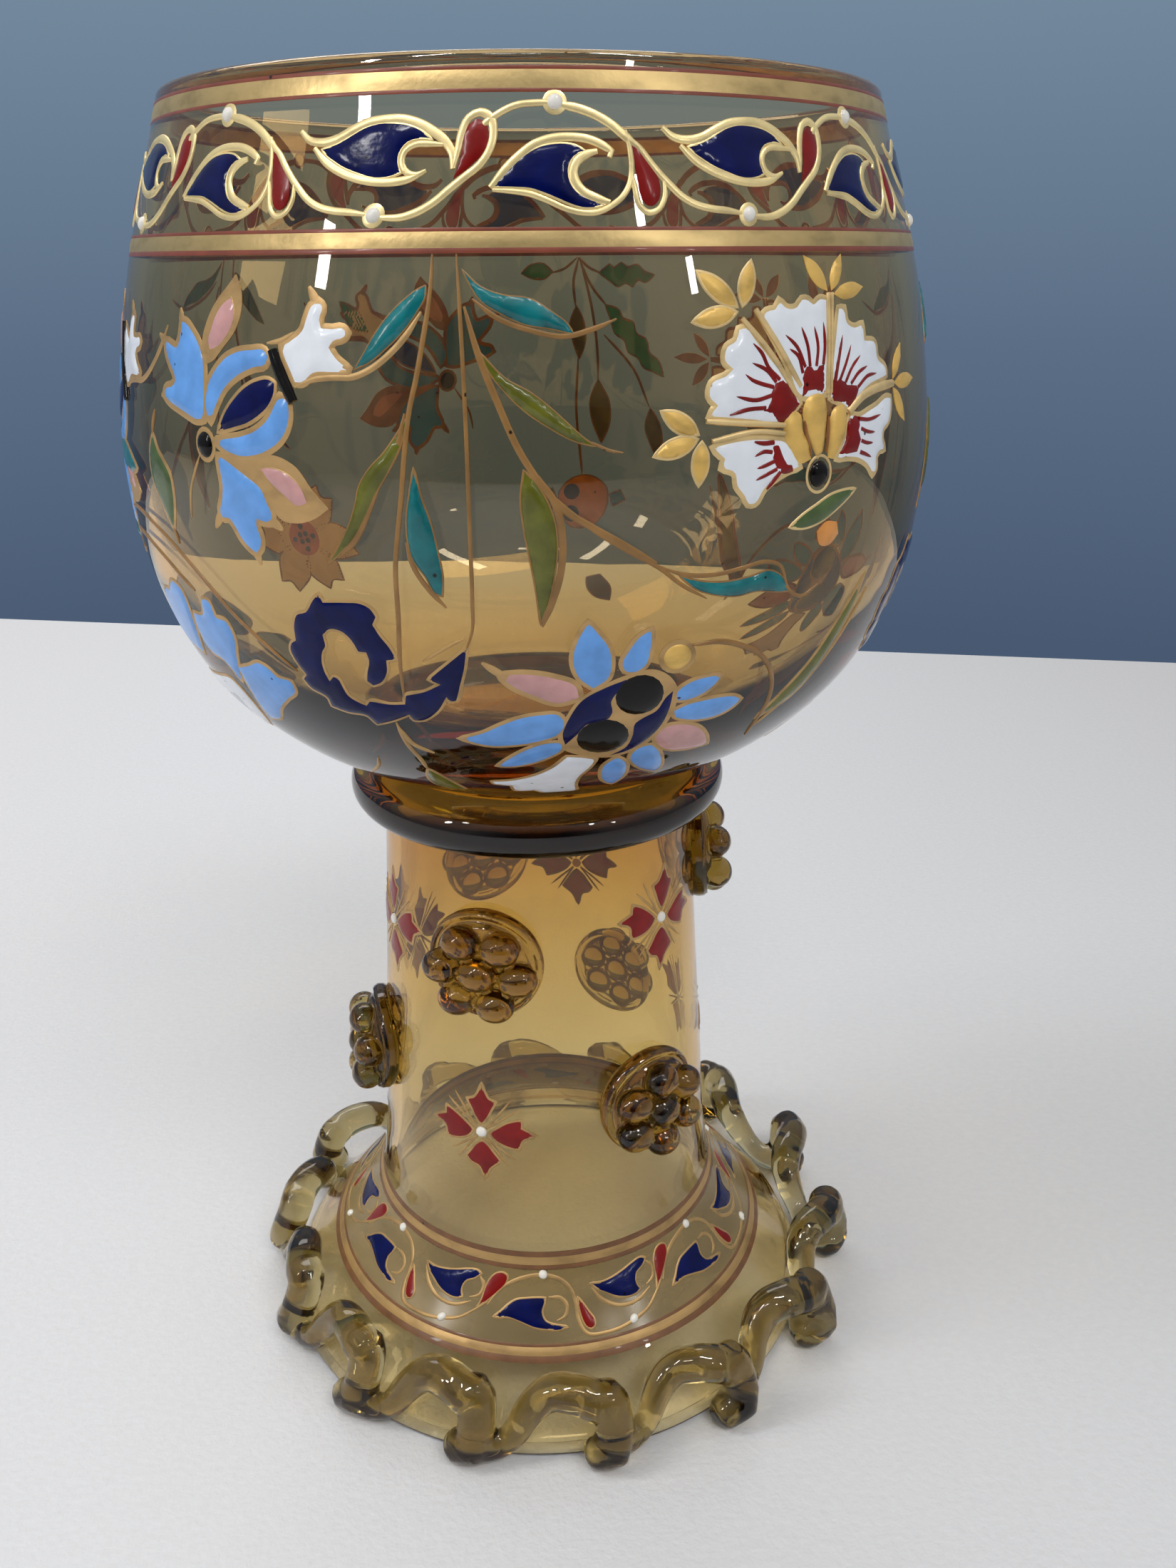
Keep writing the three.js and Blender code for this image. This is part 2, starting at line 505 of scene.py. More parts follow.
def fuse(piece: Piece, voxel: float, rounds: int) -> None:
    """Melt overlapping bodies into one and soften it.

    Args:
        piece: The active piece.
        voxel: Fineness in millimetres.
        rounds: How often it is smoothed.
    """
    for kind, settings in (
        ("REMESH", {"mode": "VOXEL", "voxel_size": voxel * MM}),
        ("SMOOTH", {"factor": 0.5, "iterations": rounds}),
    ):
        bpy.ops.object.modifier_add(type=kind)
        modifier = piece.modifiers[-1]
        for key, value in settings.items():
            setattr(modifier, key, value)
        bpy.ops.object.modifier_apply(modifier=modifier.name)
    bpy.ops.object.shade_smooth()


def finish_piece(piece: Piece, *paints: bpy.types.Material, replaces: Sequence[str] = ()) -> None:
    """Dress a piece, tie it to the body and report it.

    Args:
        piece: The finished piece.
        paints: Its materials, in slot order.
        replaces: CAD nodes that it stands for.
    """
    for paint in paints:
        piece.data.materials.append(paint)
    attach(piece, BODY)
    if replaces:
        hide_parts(*replaces)
    log.info("%s: %d faces, %d finishes", piece.name, len(piece.data.polygons), len(paints))


def smooth_line(points: Sequence[Point], closed: bool, step: float, corner: float = SHARP_TURN) -> np.ndarray:
    """A smooth line through given points, which stays sharp where they turn sharply.

    Args:
        points: The points in millimetres.
        closed: Whether the line closes on itself.
        step: Distance between the points of the smooth line.
        corner: Turn in degrees from which a point stays sharp.

    Returns:
        The points of the line, without a repeated last point.
    """
    at = np.asarray(points, float)
    count = len(at)
    last = count if closed else count - 1
    legs = [at[(i + 1) % count] - at[i] for i in range(last)]
    lengths = [float(np.hypot(*leg)) or 1e-6 for leg in legs]

    def slope(index: int, leg: int) -> np.ndarray:
        """Direction of travel at a point, for one of its two legs."""
        before, after = (index - 1) % count, index % count
        if not closed and index in (0, count - 1):
            return legs[leg] / lengths[leg]
        one, two = legs[before] / lengths[before], legs[after % last] / lengths[after % last]
        if degrees(acos(max(-1.0, min(1.0, float(one @ two))))) > corner:
            return legs[leg] / lengths[leg]
        along = one * lengths[after % last] + two * lengths[before]
        return along / (lengths[before] + lengths[after % last])

    line = []
    for leg in range(last):
        start, end = at[leg], at[(leg + 1) % count]
        out, into = (
            slope(leg, leg) * lengths[leg],
            slope((leg + 1) % count if closed else leg + 1, leg) * lengths[leg],
        )
        pieces = max(1, ceil(lengths[leg] / step))
        for piece in range(pieces):
            t = piece / pieces
            line.append(
                (2 * t**3 - 3 * t**2 + 1) * start
                + (t**3 - 2 * t**2 + t) * out
                + (-2 * t**3 + 3 * t**2) * end
                + (t**3 - t**2) * into
            )
    if not closed:
        line.append(at[-1])
    return np.array(line)


@dataclass
class TurnedForm:
    """A form turned about the axis, on whose outside motifs are laid.

    Attributes:
        outline: Radius and height of points up the outside.
    """

    outline: Sequence[Point]

    def __post_init__(self) -> None:
        """Measure the outline."""
        line = smooth_line(self.outline, closed=False, step=0.25, corner=NO_CORNERS)
        legs = np.diff(line, axis=0)
        self.length = np.concatenate([[0.0], np.cumsum(np.hypot(legs[:, 0], legs[:, 1]))])
        along = np.gradient(line, self.length, axis=0)
        self.measures = np.column_stack([line, along[:, 1], -along[:, 0]])

    def at(self, height: float, along: float | np.ndarray) -> Iterator[float | np.ndarray]:
        """Radius, height, and the radius and height of the outward direction at a distance along the outline.

        Args:
            height: Height of the point that the rest is measured from.
            along: Distance up the outline from it.

        Returns:
            The four of them.
        """
        reach = float(np.interp(height, self.measures[:, 1], self.length)) + along
        return (np.interp(reach, self.length, column) for column in self.measures.T)

    def section(self, height: float, along: float, lift: float) -> Point:
        """Radius and height of a point of the section.

        Args:
            height: Height of the point that the rest is measured from.
            along: Distance up the outline from it.
            lift: Distance off the surface.

        Returns:
            Radius and height in millimetres.
        """
        radius, level, out, rise = self.at(height, along)
        return float(radius + out * lift), float(level + rise * lift)

    def lay(self, flat: np.ndarray, azimuth: float, height: float) -> np.ndarray:
        """Lay flat points on the surface.

        Args:
            flat: Distance to the right, up the outline and off the surface in millimetres, one point a row.
            azimuth: Azimuth of the point that they are measured from, in degrees.
            height: Its height.

        Returns:
            Points in metres, one a row.
        """
        across, up, lift = flat.T
        radius, level, out, rise = self.at(height, up)
        angle = radians(azimuth) + across / radius
        away = radius + out * lift
        return np.stack([away * np.sin(angle), -away * np.cos(angle), level + rise * lift], axis=1) * MM


def spun(name: str, section: Sequence[Point], turns: int = 192) -> Piece:
    """Spin a closed section once round the axis.

    Args:
        name: The piece's name.
        section: Radius and height of the section's points, in order round it.
        turns: Steps of the spin.

    Returns:
        A closed piece. Where its section runs along the axis, the wall there is left out.
    """
    put_down()
    middle = section[0][1] * MM
    bpy.ops.mesh.primitive_circle_add(
        vertices=len(section), radius=section[0][0] * MM + MM, location=(0, 0, middle)
    )
    piece = bpy.context.object
    piece.name = name
    apply_place()
    for vertex, (radius, height) in zip(piece.data.vertices, section):
        vertex.co = (radius * MM, 0.0, height * MM)
    with whole_mesh():
        bpy.ops.mesh.spin(steps=turns, angle=2 * pi, center=(0, 0, 0), axis=(0, 0, 1))
        bpy.ops.mesh.select_all(action="SELECT")
        bpy.ops.mesh.remove_doubles(threshold=0.002 * MM)
        bpy.ops.mesh.delete_loose(use_faces=False)
    bpy.ops.object.shade_smooth_by_angle(angle=radians(50))
    return piece


def inner_wall(outside: np.ndarray, thickness: Callable[[float], float]) -> list[Point]:
    """The same line moved into the glass by its thickness there.

    Args:
        outside: Points up the outside.
        thickness: Thickness by the share of the way up, 0..1.

    Returns:
        Points down the inside.
    """
    along = np.gradient(outside, axis=0)
    along /= np.hypot(along[:, 0], along[:, 1])[:, None]
    share = np.linspace(0.0, 1.0, len(outside))
    depth = np.array([thickness(float(part)) for part in share])[:, None]
    moved = outside + depth * np.stack([-along[:, 1], along[:, 0]], axis=1)
    return [tuple(point) for point in moved[::-1]]


# Glass


@dataclass
class Bowl(TurnedForm):
    """The blown bowl: thick and nearly flat at the bottom, thin at the fire-polished lip.

    Attributes:
        lip: Thickness of the wall at the lip, and bottom at the bottom.
        thinned: Share of the way up the outside where the wall is as thin as the lip.
        dish: Depth of the floor's dish.
        underside: Height of the underside, and underside_rings the radii of its points.
    """

    outline: Sequence[Point] = (
        (20.3, 82.3), (31.0, 88.1), (38.5, 95.6), (43.2, 105.6), (45.02, 118.2), (43.4, 134.0),
        (37.75, 154.1),
    )
    lip: float = 1.8
    bottom: float = 4.8
    thinned: float = 0.45
    dish: float = 0.15
    underside: float = 82.0
    underside_rings: Sequence[float] = (0.0, 9.0, 18.5)
    top: float = 155.0
    # The tint darkens the lower bowl, below about 108 mm: painted shade, standing in for the shaded table seen
    # through it.
    glass: GlassFinish = GlassFinish(
        "bowl_glass_pale_olive", (0.028, 0.11, 0.32), 0.03, (1.0, 1.0, 3.0),
        ((82.0, (0.72, 0.78, 0.86)), (96.0, (0.75, 0.8, 0.86)), (108.0, (0.93, 0.9, 0.88)),
         (155.0, (0.95, 0.91, 0.88))),
    )

    def wall(self, share: float) -> float:
        """Thickness of the wall by the share of the way up the outside."""
        ease = min(1.0, share / self.thinned)
        return self.bottom + (self.lip - self.bottom) * (ease * ease * (3 - 2 * ease))

    def build(self) -> None:
        """Spin the bowl."""
        outside = smooth_line(self.outline, closed=False, step=OUTLINE_STEP, corner=NO_CORNERS)
        round_lip = self.lip / 2
        edge, level = outside[-1][0] - round_lip, self.top - round_lip
        turns = [radians(angle) for angle in range(22, 181, 22)]
        lip = [(edge + round_lip * cos(turn), level + round_lip * sin(turn)) for turn in turns]
        inside = inner_wall(outside, self.wall)[1:]
        floor = self.underside + self.bottom
        flat = [(inside[-1][0] * part, floor - self.dish * (1 - part)) for part in (0.75, 0.5, 0.25, 0.0)]
        section = [(radius, self.underside) for radius in self.underside_rings]
        piece = spun("blown_bowl", section + [tuple(point) for point in outside] + lip + inside + flat)
        finish_piece(piece, mixed(self.glass), replaces=["bowl"])


@dataclass
class Collar:
    """The thick dark amber ring laid hot round the joint of bowl and stem; its lower face is painted nearly
    black as shade.
    """

    inner: float = 19.9
    belly: Sequence[Point] = ((20.9, 75.6), (22.6, 75.9), (23.6, 77.2), (23.75, 78.7), (23.2, 80.2),
                              (21.9, 81.3))
    bottom: float = 75.6
    top: Point = (21.0, 81.95)
    # The tint is painted shade: the collar's lower face, from 76.2 to 79.4 mm, is painted nearly black, with
    # dark amber below it and clear glass above 80.1 mm.
    glass: GlassFinish = GlassFinish(
        "collar_glass_dark_amber", (0.01, 0.05, 0.28), 0.06, (1.0, 1.0, 3.0),
        ((75.0, (0.2, 0.07, 0.015)), (76.2, (0.015, 0.006, 0.003)), (79.4, (0.02, 0.008, 0.004)),
         (80.1, (1.0, 1.0, 0.9))), 0.05,
    )

    def build(self) -> None:
        """Spin the collar."""
        belly = smooth_line(self.belly, closed=False, step=0.4, corner=NO_CORNERS)
        section = [(self.inner, self.bottom), *map(tuple, belly), self.top, (self.inner, self.top[1])]
        piece = spun("laid_collar", section)
        finish_piece(piece, mixed(self.glass), replaces=["collar_ring"])


@dataclass
class StemAndFoot(TurnedForm):
    """Stem and foot, blown in one: a slightly tapering tube that flares to the foot's rim, open beneath.

    Attributes:
        lowest: Height that the inside of the foot's rim stays above.
        heel: Height of the heel's inner edge, then radius and height of points to its outer one.
    """

    outline: Sequence[Point] = (
        (37.45, 0.9), (36.4, 3.0), (34.6, 5.0), (30.0, 10.3), (26.4, 14.6), (23.9, 18.6), (22.8, 24.5),
        (21.9, 38.0), (20.7, 57.0), (19.7, 75.6), (19.5, 82.1),
    )
    wall: float = 1.8
    foot_wall: float = 2.1
    lowest: float = 0.8
    heel: tuple[float, Sequence[Point]] = (0.75, ((36.2, 0.3), (36.65, 0.0), (36.9, 0.0), (37.3, 0.35)))
    # The tint greys the foot a little, partly painted shade and blue-grey reflection, and turns the glass
    # deeper amber towards the top.
    glass: GlassFinish = GlassFinish(
        "stem_glass_amber", (0.04, 0.11, 0.27), 0.04, (1.0, 1.0, 2.0),
        ((3.0, (0.92, 0.97, 1.0)), (14.0, (0.93, 0.97, 1.0)), (24.0, (0.99, 1.0, 0.9)),
         (48.0, (1.0, 0.95, 0.69)), (80.0, (0.7, 0.45, 0.1))),
    )

    def build(self) -> None:
        """Spin the stem and foot."""
        outside = smooth_line(self.outline, closed=False, step=OUTLINE_STEP, corner=NO_CORNERS)
        inside = inner_wall(
            outside, lambda share: self.foot_wall + (self.wall - self.foot_wall) * min(1.0, share * 3)
        )
        inside = [(radius, max(height, self.lowest)) for radius, height in inside]
        section = [(inside[-1][0], self.heel[0]), *self.heel[1]]
        piece = spun("blown_stem_and_foot", section + [tuple(point) for point in outside] + inside)
        finish_piece(piece, mixed(self.glass), replaces=["stem_foot"])


@dataclass
class FootThread:
    """A thick thread of glass laid in waves round the foot and nipped outwards into ears.

    Attributes:
        thickness: The thread's own thickness.
        waves: How many waves go round.
        crest: Radius and height of the crests, on the slope of the foot.
        trough: Radius and height of the troughs, at the table.
        ear: How far the falling strand stands out between them.
        measure: Radius at which a wave's own length is measured.
        first: Azimuth of one crest.
        aside: How far the ring of ears sits to the right and to the back.
        climb: Share of that by which the crests move up the slope.
        slip: Share of it by which the troughs move out.
        most: Radius that nothing passes.
        wave: One wave: distance round the foot, and shares of the way up, of the ear and of the thickness.
        voxel: Fineness of the fused thread.
    """

    thickness: float = 4.4
    waves: int = 14
    crest: Point = (35.6, 8.6)
    trough: Point = (38.6, 2.25)
    ear: float = 3.7
    measure: float = 38.0
    first: float = -47.7
    aside: Point = (1.7, 1.9)
    climb: float = 0.25
    slip: float = 0.2
    most: float = 45.15
    wave: Sequence[tuple[float, float, float, float]] = (
        (0.0, 0.0, 0.5, 1.0), (2.4, -0.02, 0.12, 0.84), (5.0, 0.03, 0.0, 0.74), (7.2, 0.26, 0.0, 0.76),
        (8.9, 0.64, 0.06, 0.88), (11.2, 0.98, 0.2, 1.0), (14.2, 1.1, 0.46, 1.08), (17.2, 0.98, 0.78, 1.12),
        (19.2, 0.68, 1.02, 1.14), (19.2, 0.34, 1.08, 1.14), (17.8, 0.08, 0.84, 1.1),
    )
    voxel: float = 0.34
    seed: int = 7
    glass: GlassFinish = GlassFinish("thread_glass_smoky_olive", (0.135, 0.175, 0.32), 0.1)

    def path(self) -> tuple[list[Vector], list[float]]:
        """The thread's line, closed on itself, with the small unevenness of the hand.

        Returns:
            Points in metres, and the share of the thickness at each.
        """
        chance = random.Random(self.seed)
        pitch = 2 * pi * self.measure / self.waves
        knots = []
        for wave in range(self.waves):
            stretch, swell = 1 + chance.uniform(-0.05, 0.05), 1 + chance.uniform(-0.05, 0.06)
            drift = chance.uniform(-0.5, 0.5)
            for across, rise, out, share in self.wave:
                sway = drift * sin(pi * min(across / pitch, 1.0))
                knots.append((wave * pitch + across + sway, rise * stretch, out * stretch, share * swell))
        knots.append((self.waves * pitch, *knots[0][1:]))
        whole = np.array(knots)
        line = smooth_line(whole[:, :2], closed=False, step=0.5, corner=NO_CORNERS)
        reach = np.linspace(0.0, len(whole) - 1, len(line))
        out, thick = (np.interp(reach, np.arange(len(whole)), whole[:, column]) for column in (2, 3))
        summit = max(self.wave, key=lambda knot: knot[1])[0]
        points = []
        for (across, rise), ear, share in zip(line, out, thick):
            angle = radians(self.first) + (across - summit) / self.measure
            shift = self.aside[0] * sin(angle) - self.aside[1] * cos(angle)
            top = (self.crest[0] + self.climb * shift, self.crest[1] - self.climb * shift)
            foot = self.trough[0] + self.slip * shift
            radius = foot + (top[0] - foot) * rise + ear * (self.ear + shift)
            radius = min(radius, self.most - self.thickness / 2 * share)
            height = self.trough[1] + (top[1] - self.trough[1]) * rise
            points.append(Vector((radius * sin(angle), -radius * cos(angle), height)) * MM)
        return points[:-1], [float(share) for share in thick[:-1]]

    def build(self) -> None:
        """Lay the thread and fuse its bends."""
        put_down()
        bpy.ops.curve.primitive_nurbs_path_add(location=(0, 0, 0))
        piece = bpy.context.object
        curve = piece.data
        curve.splines.clear()
        path, thick = self.path()
        spline = curve.splines.new("POLY")
        spline.points.add(len(path) - 1)
        for knot, spot, share in zip(spline.points, path, thick):
            knot.co = (*spot, 1.0)
            knot.radius = share
        spline.use_cyclic_u = True
        curve.dimensions = "3D"
        curve.bevel_depth = self.thickness / 2 * MM
        curve.bevel_resolution = 5
        take_up(piece)
        bpy.ops.object.convert(target="MESH")
        piece = bpy.context.object
        fuse(piece, self.voxel, 8)
        piece.name = "wavy_foot_thread"
        for vertex in piece.data.vertices:
            vertex.co.z = max(vertex.co.z, 0.0)
        finish_piece(piece, mixed(self.glass), replaces=["foot_thread"])


@dataclass
class Prunts:
    """Raspberry prunts on the stem: a pad of glass pressed into seven berries.

    Attributes:
        places: Azimuth, height, and turn of the berries of each prunt.
        ring: Radius of the ring of six berries.
        drop: How far the berries sit below the pad's middle, and reach off it.
        sink: How far the pad sinks into the stem.
        voxel: Fineness of the fused prunt.
    """

    places: Sequence[Point3] = (
        (-19.0, 61.1, -4.0), (97.0, 65.5, 24.0), (-156.0, 57.0, 0.0), (-80.0, 41.0, 15.0), (36.0, 39.6, 30.0),
        (148.0, 37.4, 20.0),
    )
    pad: Sequence[Point] = (
        (0.0, 0.0), (3.5, 0.0), (6.75, 0.0), (7.0, 0.7), (6.95, 1.5), (6.6, 2.05), (6.2, 1.95), (5.9, 1.75),
        (5.55, 2.1), (5.2, 2.55), (3.0, 2.75), (0.0, 2.8),
    )
    berry: float = 2.08
    ring: float = 4.25
    drop: float = 0.5
    reach: float = 3.3
    sink: float = 0.12
    voxel: float = 0.17
    glass: GlassFinish = GlassFinish("prunt_glass_smoky_olive", (0.135, 0.19, 0.39), 0.05)

    def flat(self, spin: float) -> Piece:
        """A prunt laid flat, its pad on the ground plane.

        Args:
            spin: Turn of the ring of berries in degrees.

        Returns:
            The prunt, its bodies fused.
        """
        pieces = [spun("prunt_pad", self.pad, 64)]
        spots = [(0.0, 0.0)] + [
            (self.ring * cos(turn), self.ring * sin(turn))
            for turn in (radians(spin + 60 * index) for index in range(6))
        ]
        for across, up in spots:
            put_down()
            place = (across * MM, (up - self.drop) * MM, self.reach * MM)
            bpy.ops.mesh.primitive_uv_sphere_add(
                segments=24, ring_count=16, radius=self.berry * MM, location=place
            )
            pieces.append(bpy.context.object)
        piece = join_up("flat_prunt", pieces)
        apply_place()
        fuse(piece, self.voxel, 1)
        return piece

    def build(self, stem: StemAndFoot) -> None:
        """Press the prunts on the stem.

        Args:
            stem: The stem that carries them.
        """
        for number, (azimuth, height, spin) in enumerate(self.places, 1):
            piece = self.flat(spin)
            move_points(piece, stem.lay(points_of(piece) - (0.0, 0.0, self.sink), azimuth, height))
            piece.name = f"raspberry_prunt_{number}"
            finish_piece(piece, mixed(self.glass), replaces=[f"prunt_{number}"])


# Gilding and enamel


@dataclass
class PaintSheet:
    """Enamel and gold drawn flat, ready to be laid on the glass.

    Attributes:
        net: Distance between the points that carry the puffed-up form.
        row_gap: Distance between their rows, as a share of it.
        clearance: Least distance from the outline, as a share of it.
        edge_rise: Height of a filling at its outline.
        edge_loss: What a filling's height lacks there.
        line_rise: Height of a stroke and of a dot at the edge.
        section: Place across and height of the points of a stroke's section, as shares.
        rings: Radii of a dot's rings, as shares, each with as many sides.
        spots: Points of the drawing: across, up, and height off the glass.
        faces: Corners of each face.
        paints: Paint of each face.
    """

    net: float = 0.5
    row_gap: float = 0.866
    clearance: float = 0.42
    edge_rise: float = 0.06
    edge_loss: float = 0.04
    line_rise: float = 0.02
    section: Sequence[Point] = ((-1.0, 0.0), (-0.72, 0.72), (0.0, 1.0), (0.72, 0.72), (1.0, 0.0))
    rings: Sequence[float] = (0.35, 0.65, 0.87, 1.0)
    sides: int = 18
    spots: list[Point3] = field(default_factory=list)
    faces: list[tuple[int, ...]] = field(default_factory=list)
    paints: list[Paint] = field(default_factory=list)

    def _take(self, spots: Iterable[Point3], faces: Iterable[Sequence[int]], paint: Paint) -> None:
        """Add a drawn shape to the sheet."""
        start = len(self.spots)
        self.spots.extend(spots)
        for face in faces:
            self.faces.append(tuple(start + corner for corner in face))
            self.paints.append(paint)

    def fill(
        self, paint: Paint, points: Sequence[Point], height: float = 0.2, edge: float = 0.75,
        corner: float = SHARP_TURN,
    ) -> None:
        """Fill an outline with paint that swells towards its middle.

        Args:
            paint: The paint.
            points: The outline.
            height: How far the paint stands off the glass.
            edge: Width over which it rises.
            corner: Turn from which a point of the outline stays sharp.
        """
        line = smooth_line(points, closed=True, step=self.net, corner=corner)
        low, high = line.min(0), line.max(0)
        rows = np.arange(low[1] + self.net / 2, high[1], self.net * self.row_gap)
        grid = [
            (x, y)
            for index, y in enumerate(rows)
            for x in np.arange(low[0] + self.net * (0.25 + 0.5 * (index % 2)), high[0], self.net)
        ]
        inner = np.array(grid).reshape(-1, 2)
        if len(inner):
            far = self._from_edge(inner, line)
            inner = inner[self._inside(inner, line) & (far > self.net * self.clearance)]
        everything = [Vector(point) for point in np.concatenate([line, inner])]
        found = delaunay_2d_cdt(everything, [], [list(range(len(line)))], 1, 1e-5)
        spots = np.array([tuple(spot) for spot in found[0]])
        depth = np.minimum(self._from_edge(spots, line) / edge, 1.0)
        lift = self.edge_rise + (height - self.edge_loss) * np.sqrt(np.maximum(0.0, 1.0 - (1.0 - depth) ** 2))
        self._take([(*spot, rise) for spot, rise in zip(spots, lift)], found[2], paint)

    @staticmethod
    def _from_edge(spots: np.ndarray, line: np.ndarray) -> np.ndarray:
        """Distance of each spot from a closed line."""
        start, leg = line, np.roll(line, -1, axis=0) - line
        size = np.maximum((leg**2).sum(1), 1e-12)
        away = spots[:, None, :] - start[None]
        share = np.clip((away * leg[None]).sum(2) / size[None], 0.0, 1.0)
        return np.sqrt(((away - share[:, :, None] * leg[None]) ** 2).sum(2)).min(1)

    @staticmethod
    def _inside(spots: np.ndarray, line: np.ndarray) -> np.ndarray:
        """Whether each spot lies inside a closed line."""
        x, y = spots[:, 0][:, None], spots[:, 1][:, None]
        ax, ay = line[:, 0][None], line[:, 1][None]
        bx, by = np.roll(line[:, 0], -1)[None], np.roll(line[:, 1], -1)[None]
        with np.errstate(divide="ignore", invalid="ignore"):
            crossed = ((ay > y) != (by > y)) & (x < (bx - ax) * (y - ay) / (by - ay) + ax)
        return crossed.sum(1) % 2 == 1

    def stroke(
        self, paint: Paint, points: Sequence[Point], width: float = 0.6, height: float = 0.12,
        closed: bool = False, fine: tuple[float, float] = (0.35, 0.35),
    ) -> None:
        """Draw a brush stroke with a rounded top.

        Args:
            paint: The paint.
            points: Its middle line.
            width: Its width.
            height: How far it stands off the glass.
            closed: Whether it runs round and closes.
            fine: Share of the width at its start and end.
        """
        line = smooth_line(points, closed, self.net * 0.9)
        if closed:
            ahead, behind = np.roll(line, -1, axis=0), np.roll(line, 1, axis=0)
        else:
            ahead, behind = np.vstack([line[1:], line[-1]]), np.vstack([line[0], line[:-1]])
        along = ahead - behind
        along /= np.maximum(np.hypot(along[:, 0], along[:, 1]), 1e-9)[:, None]
        side = np.stack([-along[:, 1], along[:, 0]], axis=1)
        share = np.linspace(0.0, 1.0, len(line))
        swell = np.ones(len(line))
        if not closed:
            ends = np.minimum(1.0, np.minimum(share, 1 - share) * len(line) / 4 + 0.02)
            tips = np.where(share < 0.5, fine[0], fine[1])
            swell = tips + (1 - tips) * np.sin(np.minimum(ends, 1.0) * pi / 2) * np.minimum(
                1.0, np.minimum(share, 1 - share) * 5 + 0.25
            )
        spots = [
            (*(line[i] + side[i] * off * swell[i] * width / 2),
             self.line_rise + rise * height * min(1.0, 0.35 + swell[i]))
            for i in range(len(line))
            for off, rise in self.section
        ]
        across = len(self.section)
        last = len(line) if closed else len(line) - 1
        faces = []
        for i in range(last):
            here, there = i * across, ((i + 1) % len(line)) * across
            faces += [(here + k + 1, here + k, there + k, there + k + 1) for k in range(across - 1)]
        self._take(spots, faces, paint)

    def petal(
        self, paint: Paint, points: Sequence[Point], margin: float = 0.5, rim: Paint = Paint.TRACING,
        height: float = 0.2, corner: float = SHARP_TURN,
    ) -> None:
        """A filled outline with a gold line round it.

        Args:
            paint: The filling.
            points: The outline of the filling.
            margin: Width of gold that shows round it.
            rim: The gold.
            height: How far the filling stands off the glass.
            corner: Turn from which a point of the outline stays sharp.
        """
        self.fill(paint, points, height, corner=corner)
        self.stroke(rim, points, 2 * margin, 0.05, closed=True)

    def dot(self, paint: Paint, middle: Point, radius: float, height: float = 0.3, tall: float = 1.0) -> None:
        """A round or oval drop of paint.

        Args:
            paint: The paint.
            middle: Its middle.
            radius: Its radius across.
            height: How far it stands off the glass.
            tall: Its height over its width.
        """
        sides = self.sides
        turns = [2 * pi * index / sides for index in range(sides)]
        spots: list[Point3] = [(middle[0], middle[1], height)]
        for ring in self.rings:
            rise = self.line_rise + height * sqrt(1.0001 - ring * ring)
            spots += [
                (middle[0] + radius * ring * cos(turn), middle[1] + radius * ring * tall * sin(turn), rise)
                for turn in turns
            ]
        pairs = [(index, (index + 1) % sides) for index in range(sides)]
        faces: list[tuple[int, ...]] = [(0, 1 + this, 1 + after) for this, after in pairs]
        for start in range(1, 1 + sides * (len(self.rings) - 1), sides):
            outer = start + sides
            faces += [(start + this, outer + this, outer + after, start + after) for this, after in pairs]
        self._take(spots, faces, paint)

    def lay(
        self, name: str, form: TurnedForm, azimuth: float, height: float, turn: float = 0.0, rise: float = 0.0
    ) -> None:
        """Lay the drawing on the glass as one raised piece.

        Its underside sinks into the glass, each paint to its own depth, and shows through it in a shade of its
        own:
        bole under the gold, and brighter copies of blue, navy, red and dark green, which are painted light.

        Args:
            name: The piece's name.
            form: The glass.
            azimuth: Azimuth of the drawing's own origin.
            height: Height of the drawing's own origin.
            turn: Turn of the drawing about its origin in degrees.
            rise: How far it moves up the glass after the turn.
        """
        right, up = cos(radians(turn)), sin(radians(turn))
        flat = (
            np.array([spot[:2] for spot in self.spots]) @ np.array([[right, up], [-up, right]]) + (0.0, rise)
        )
        lifts = np.array([spot[2] for spot in self.spots])
        mesh = bpy.data.meshes.new(name)
        mesh.from_pydata(np.column_stack([flat, lifts]) * MM, [], self.faces)
        used = sorted(set(self.paints), key=lambda paint: paint.name)
        used += sorted(
            {UNDERSIDES[paint] for paint in used if paint in UNDERSIDES}, key=lambda paint: paint.name
        )
        for paint in used:
            mesh.materials.append(mixed(paint.value))
        mesh.polygons.foreach_set("material_index", [used.index(paint) for paint in self.paints])
        piece = bpy.data.objects.new(name, mesh)
        bpy.context.scene.collection.objects.link(piece)
        take_up(piece)
        with whole_mesh():
            bpy.ops.mesh.remove_doubles(threshold=0.0001 * MM)
            bpy.ops.mesh.select_all(action="SELECT")
            bpy.ops.mesh.extrude_region_move(TRANSFORM_OT_translate={"value": (0, 0, -FAR_BELOW * MM)})
        places = points_of(piece)
        under = places[:, 2] < -FAR_BELOW / 2
        places[under, 2] = -DEPTH
        for face in mesh.polygons:
            paint = used[face.material_index]
            if all(under[corner] for corner in face.vertices):
                places[list(face.vertices), 2] = -DEPTHS.get(paint, DEPTH)
                face.material_index = used.index(UNDERSIDES.get(paint, paint))
        move_points(piece, form.lay(places, azimuth, height))
        bpy.ops.object.shade_smooth_by_angle(angle=radians(60))
        finish_piece(piece)


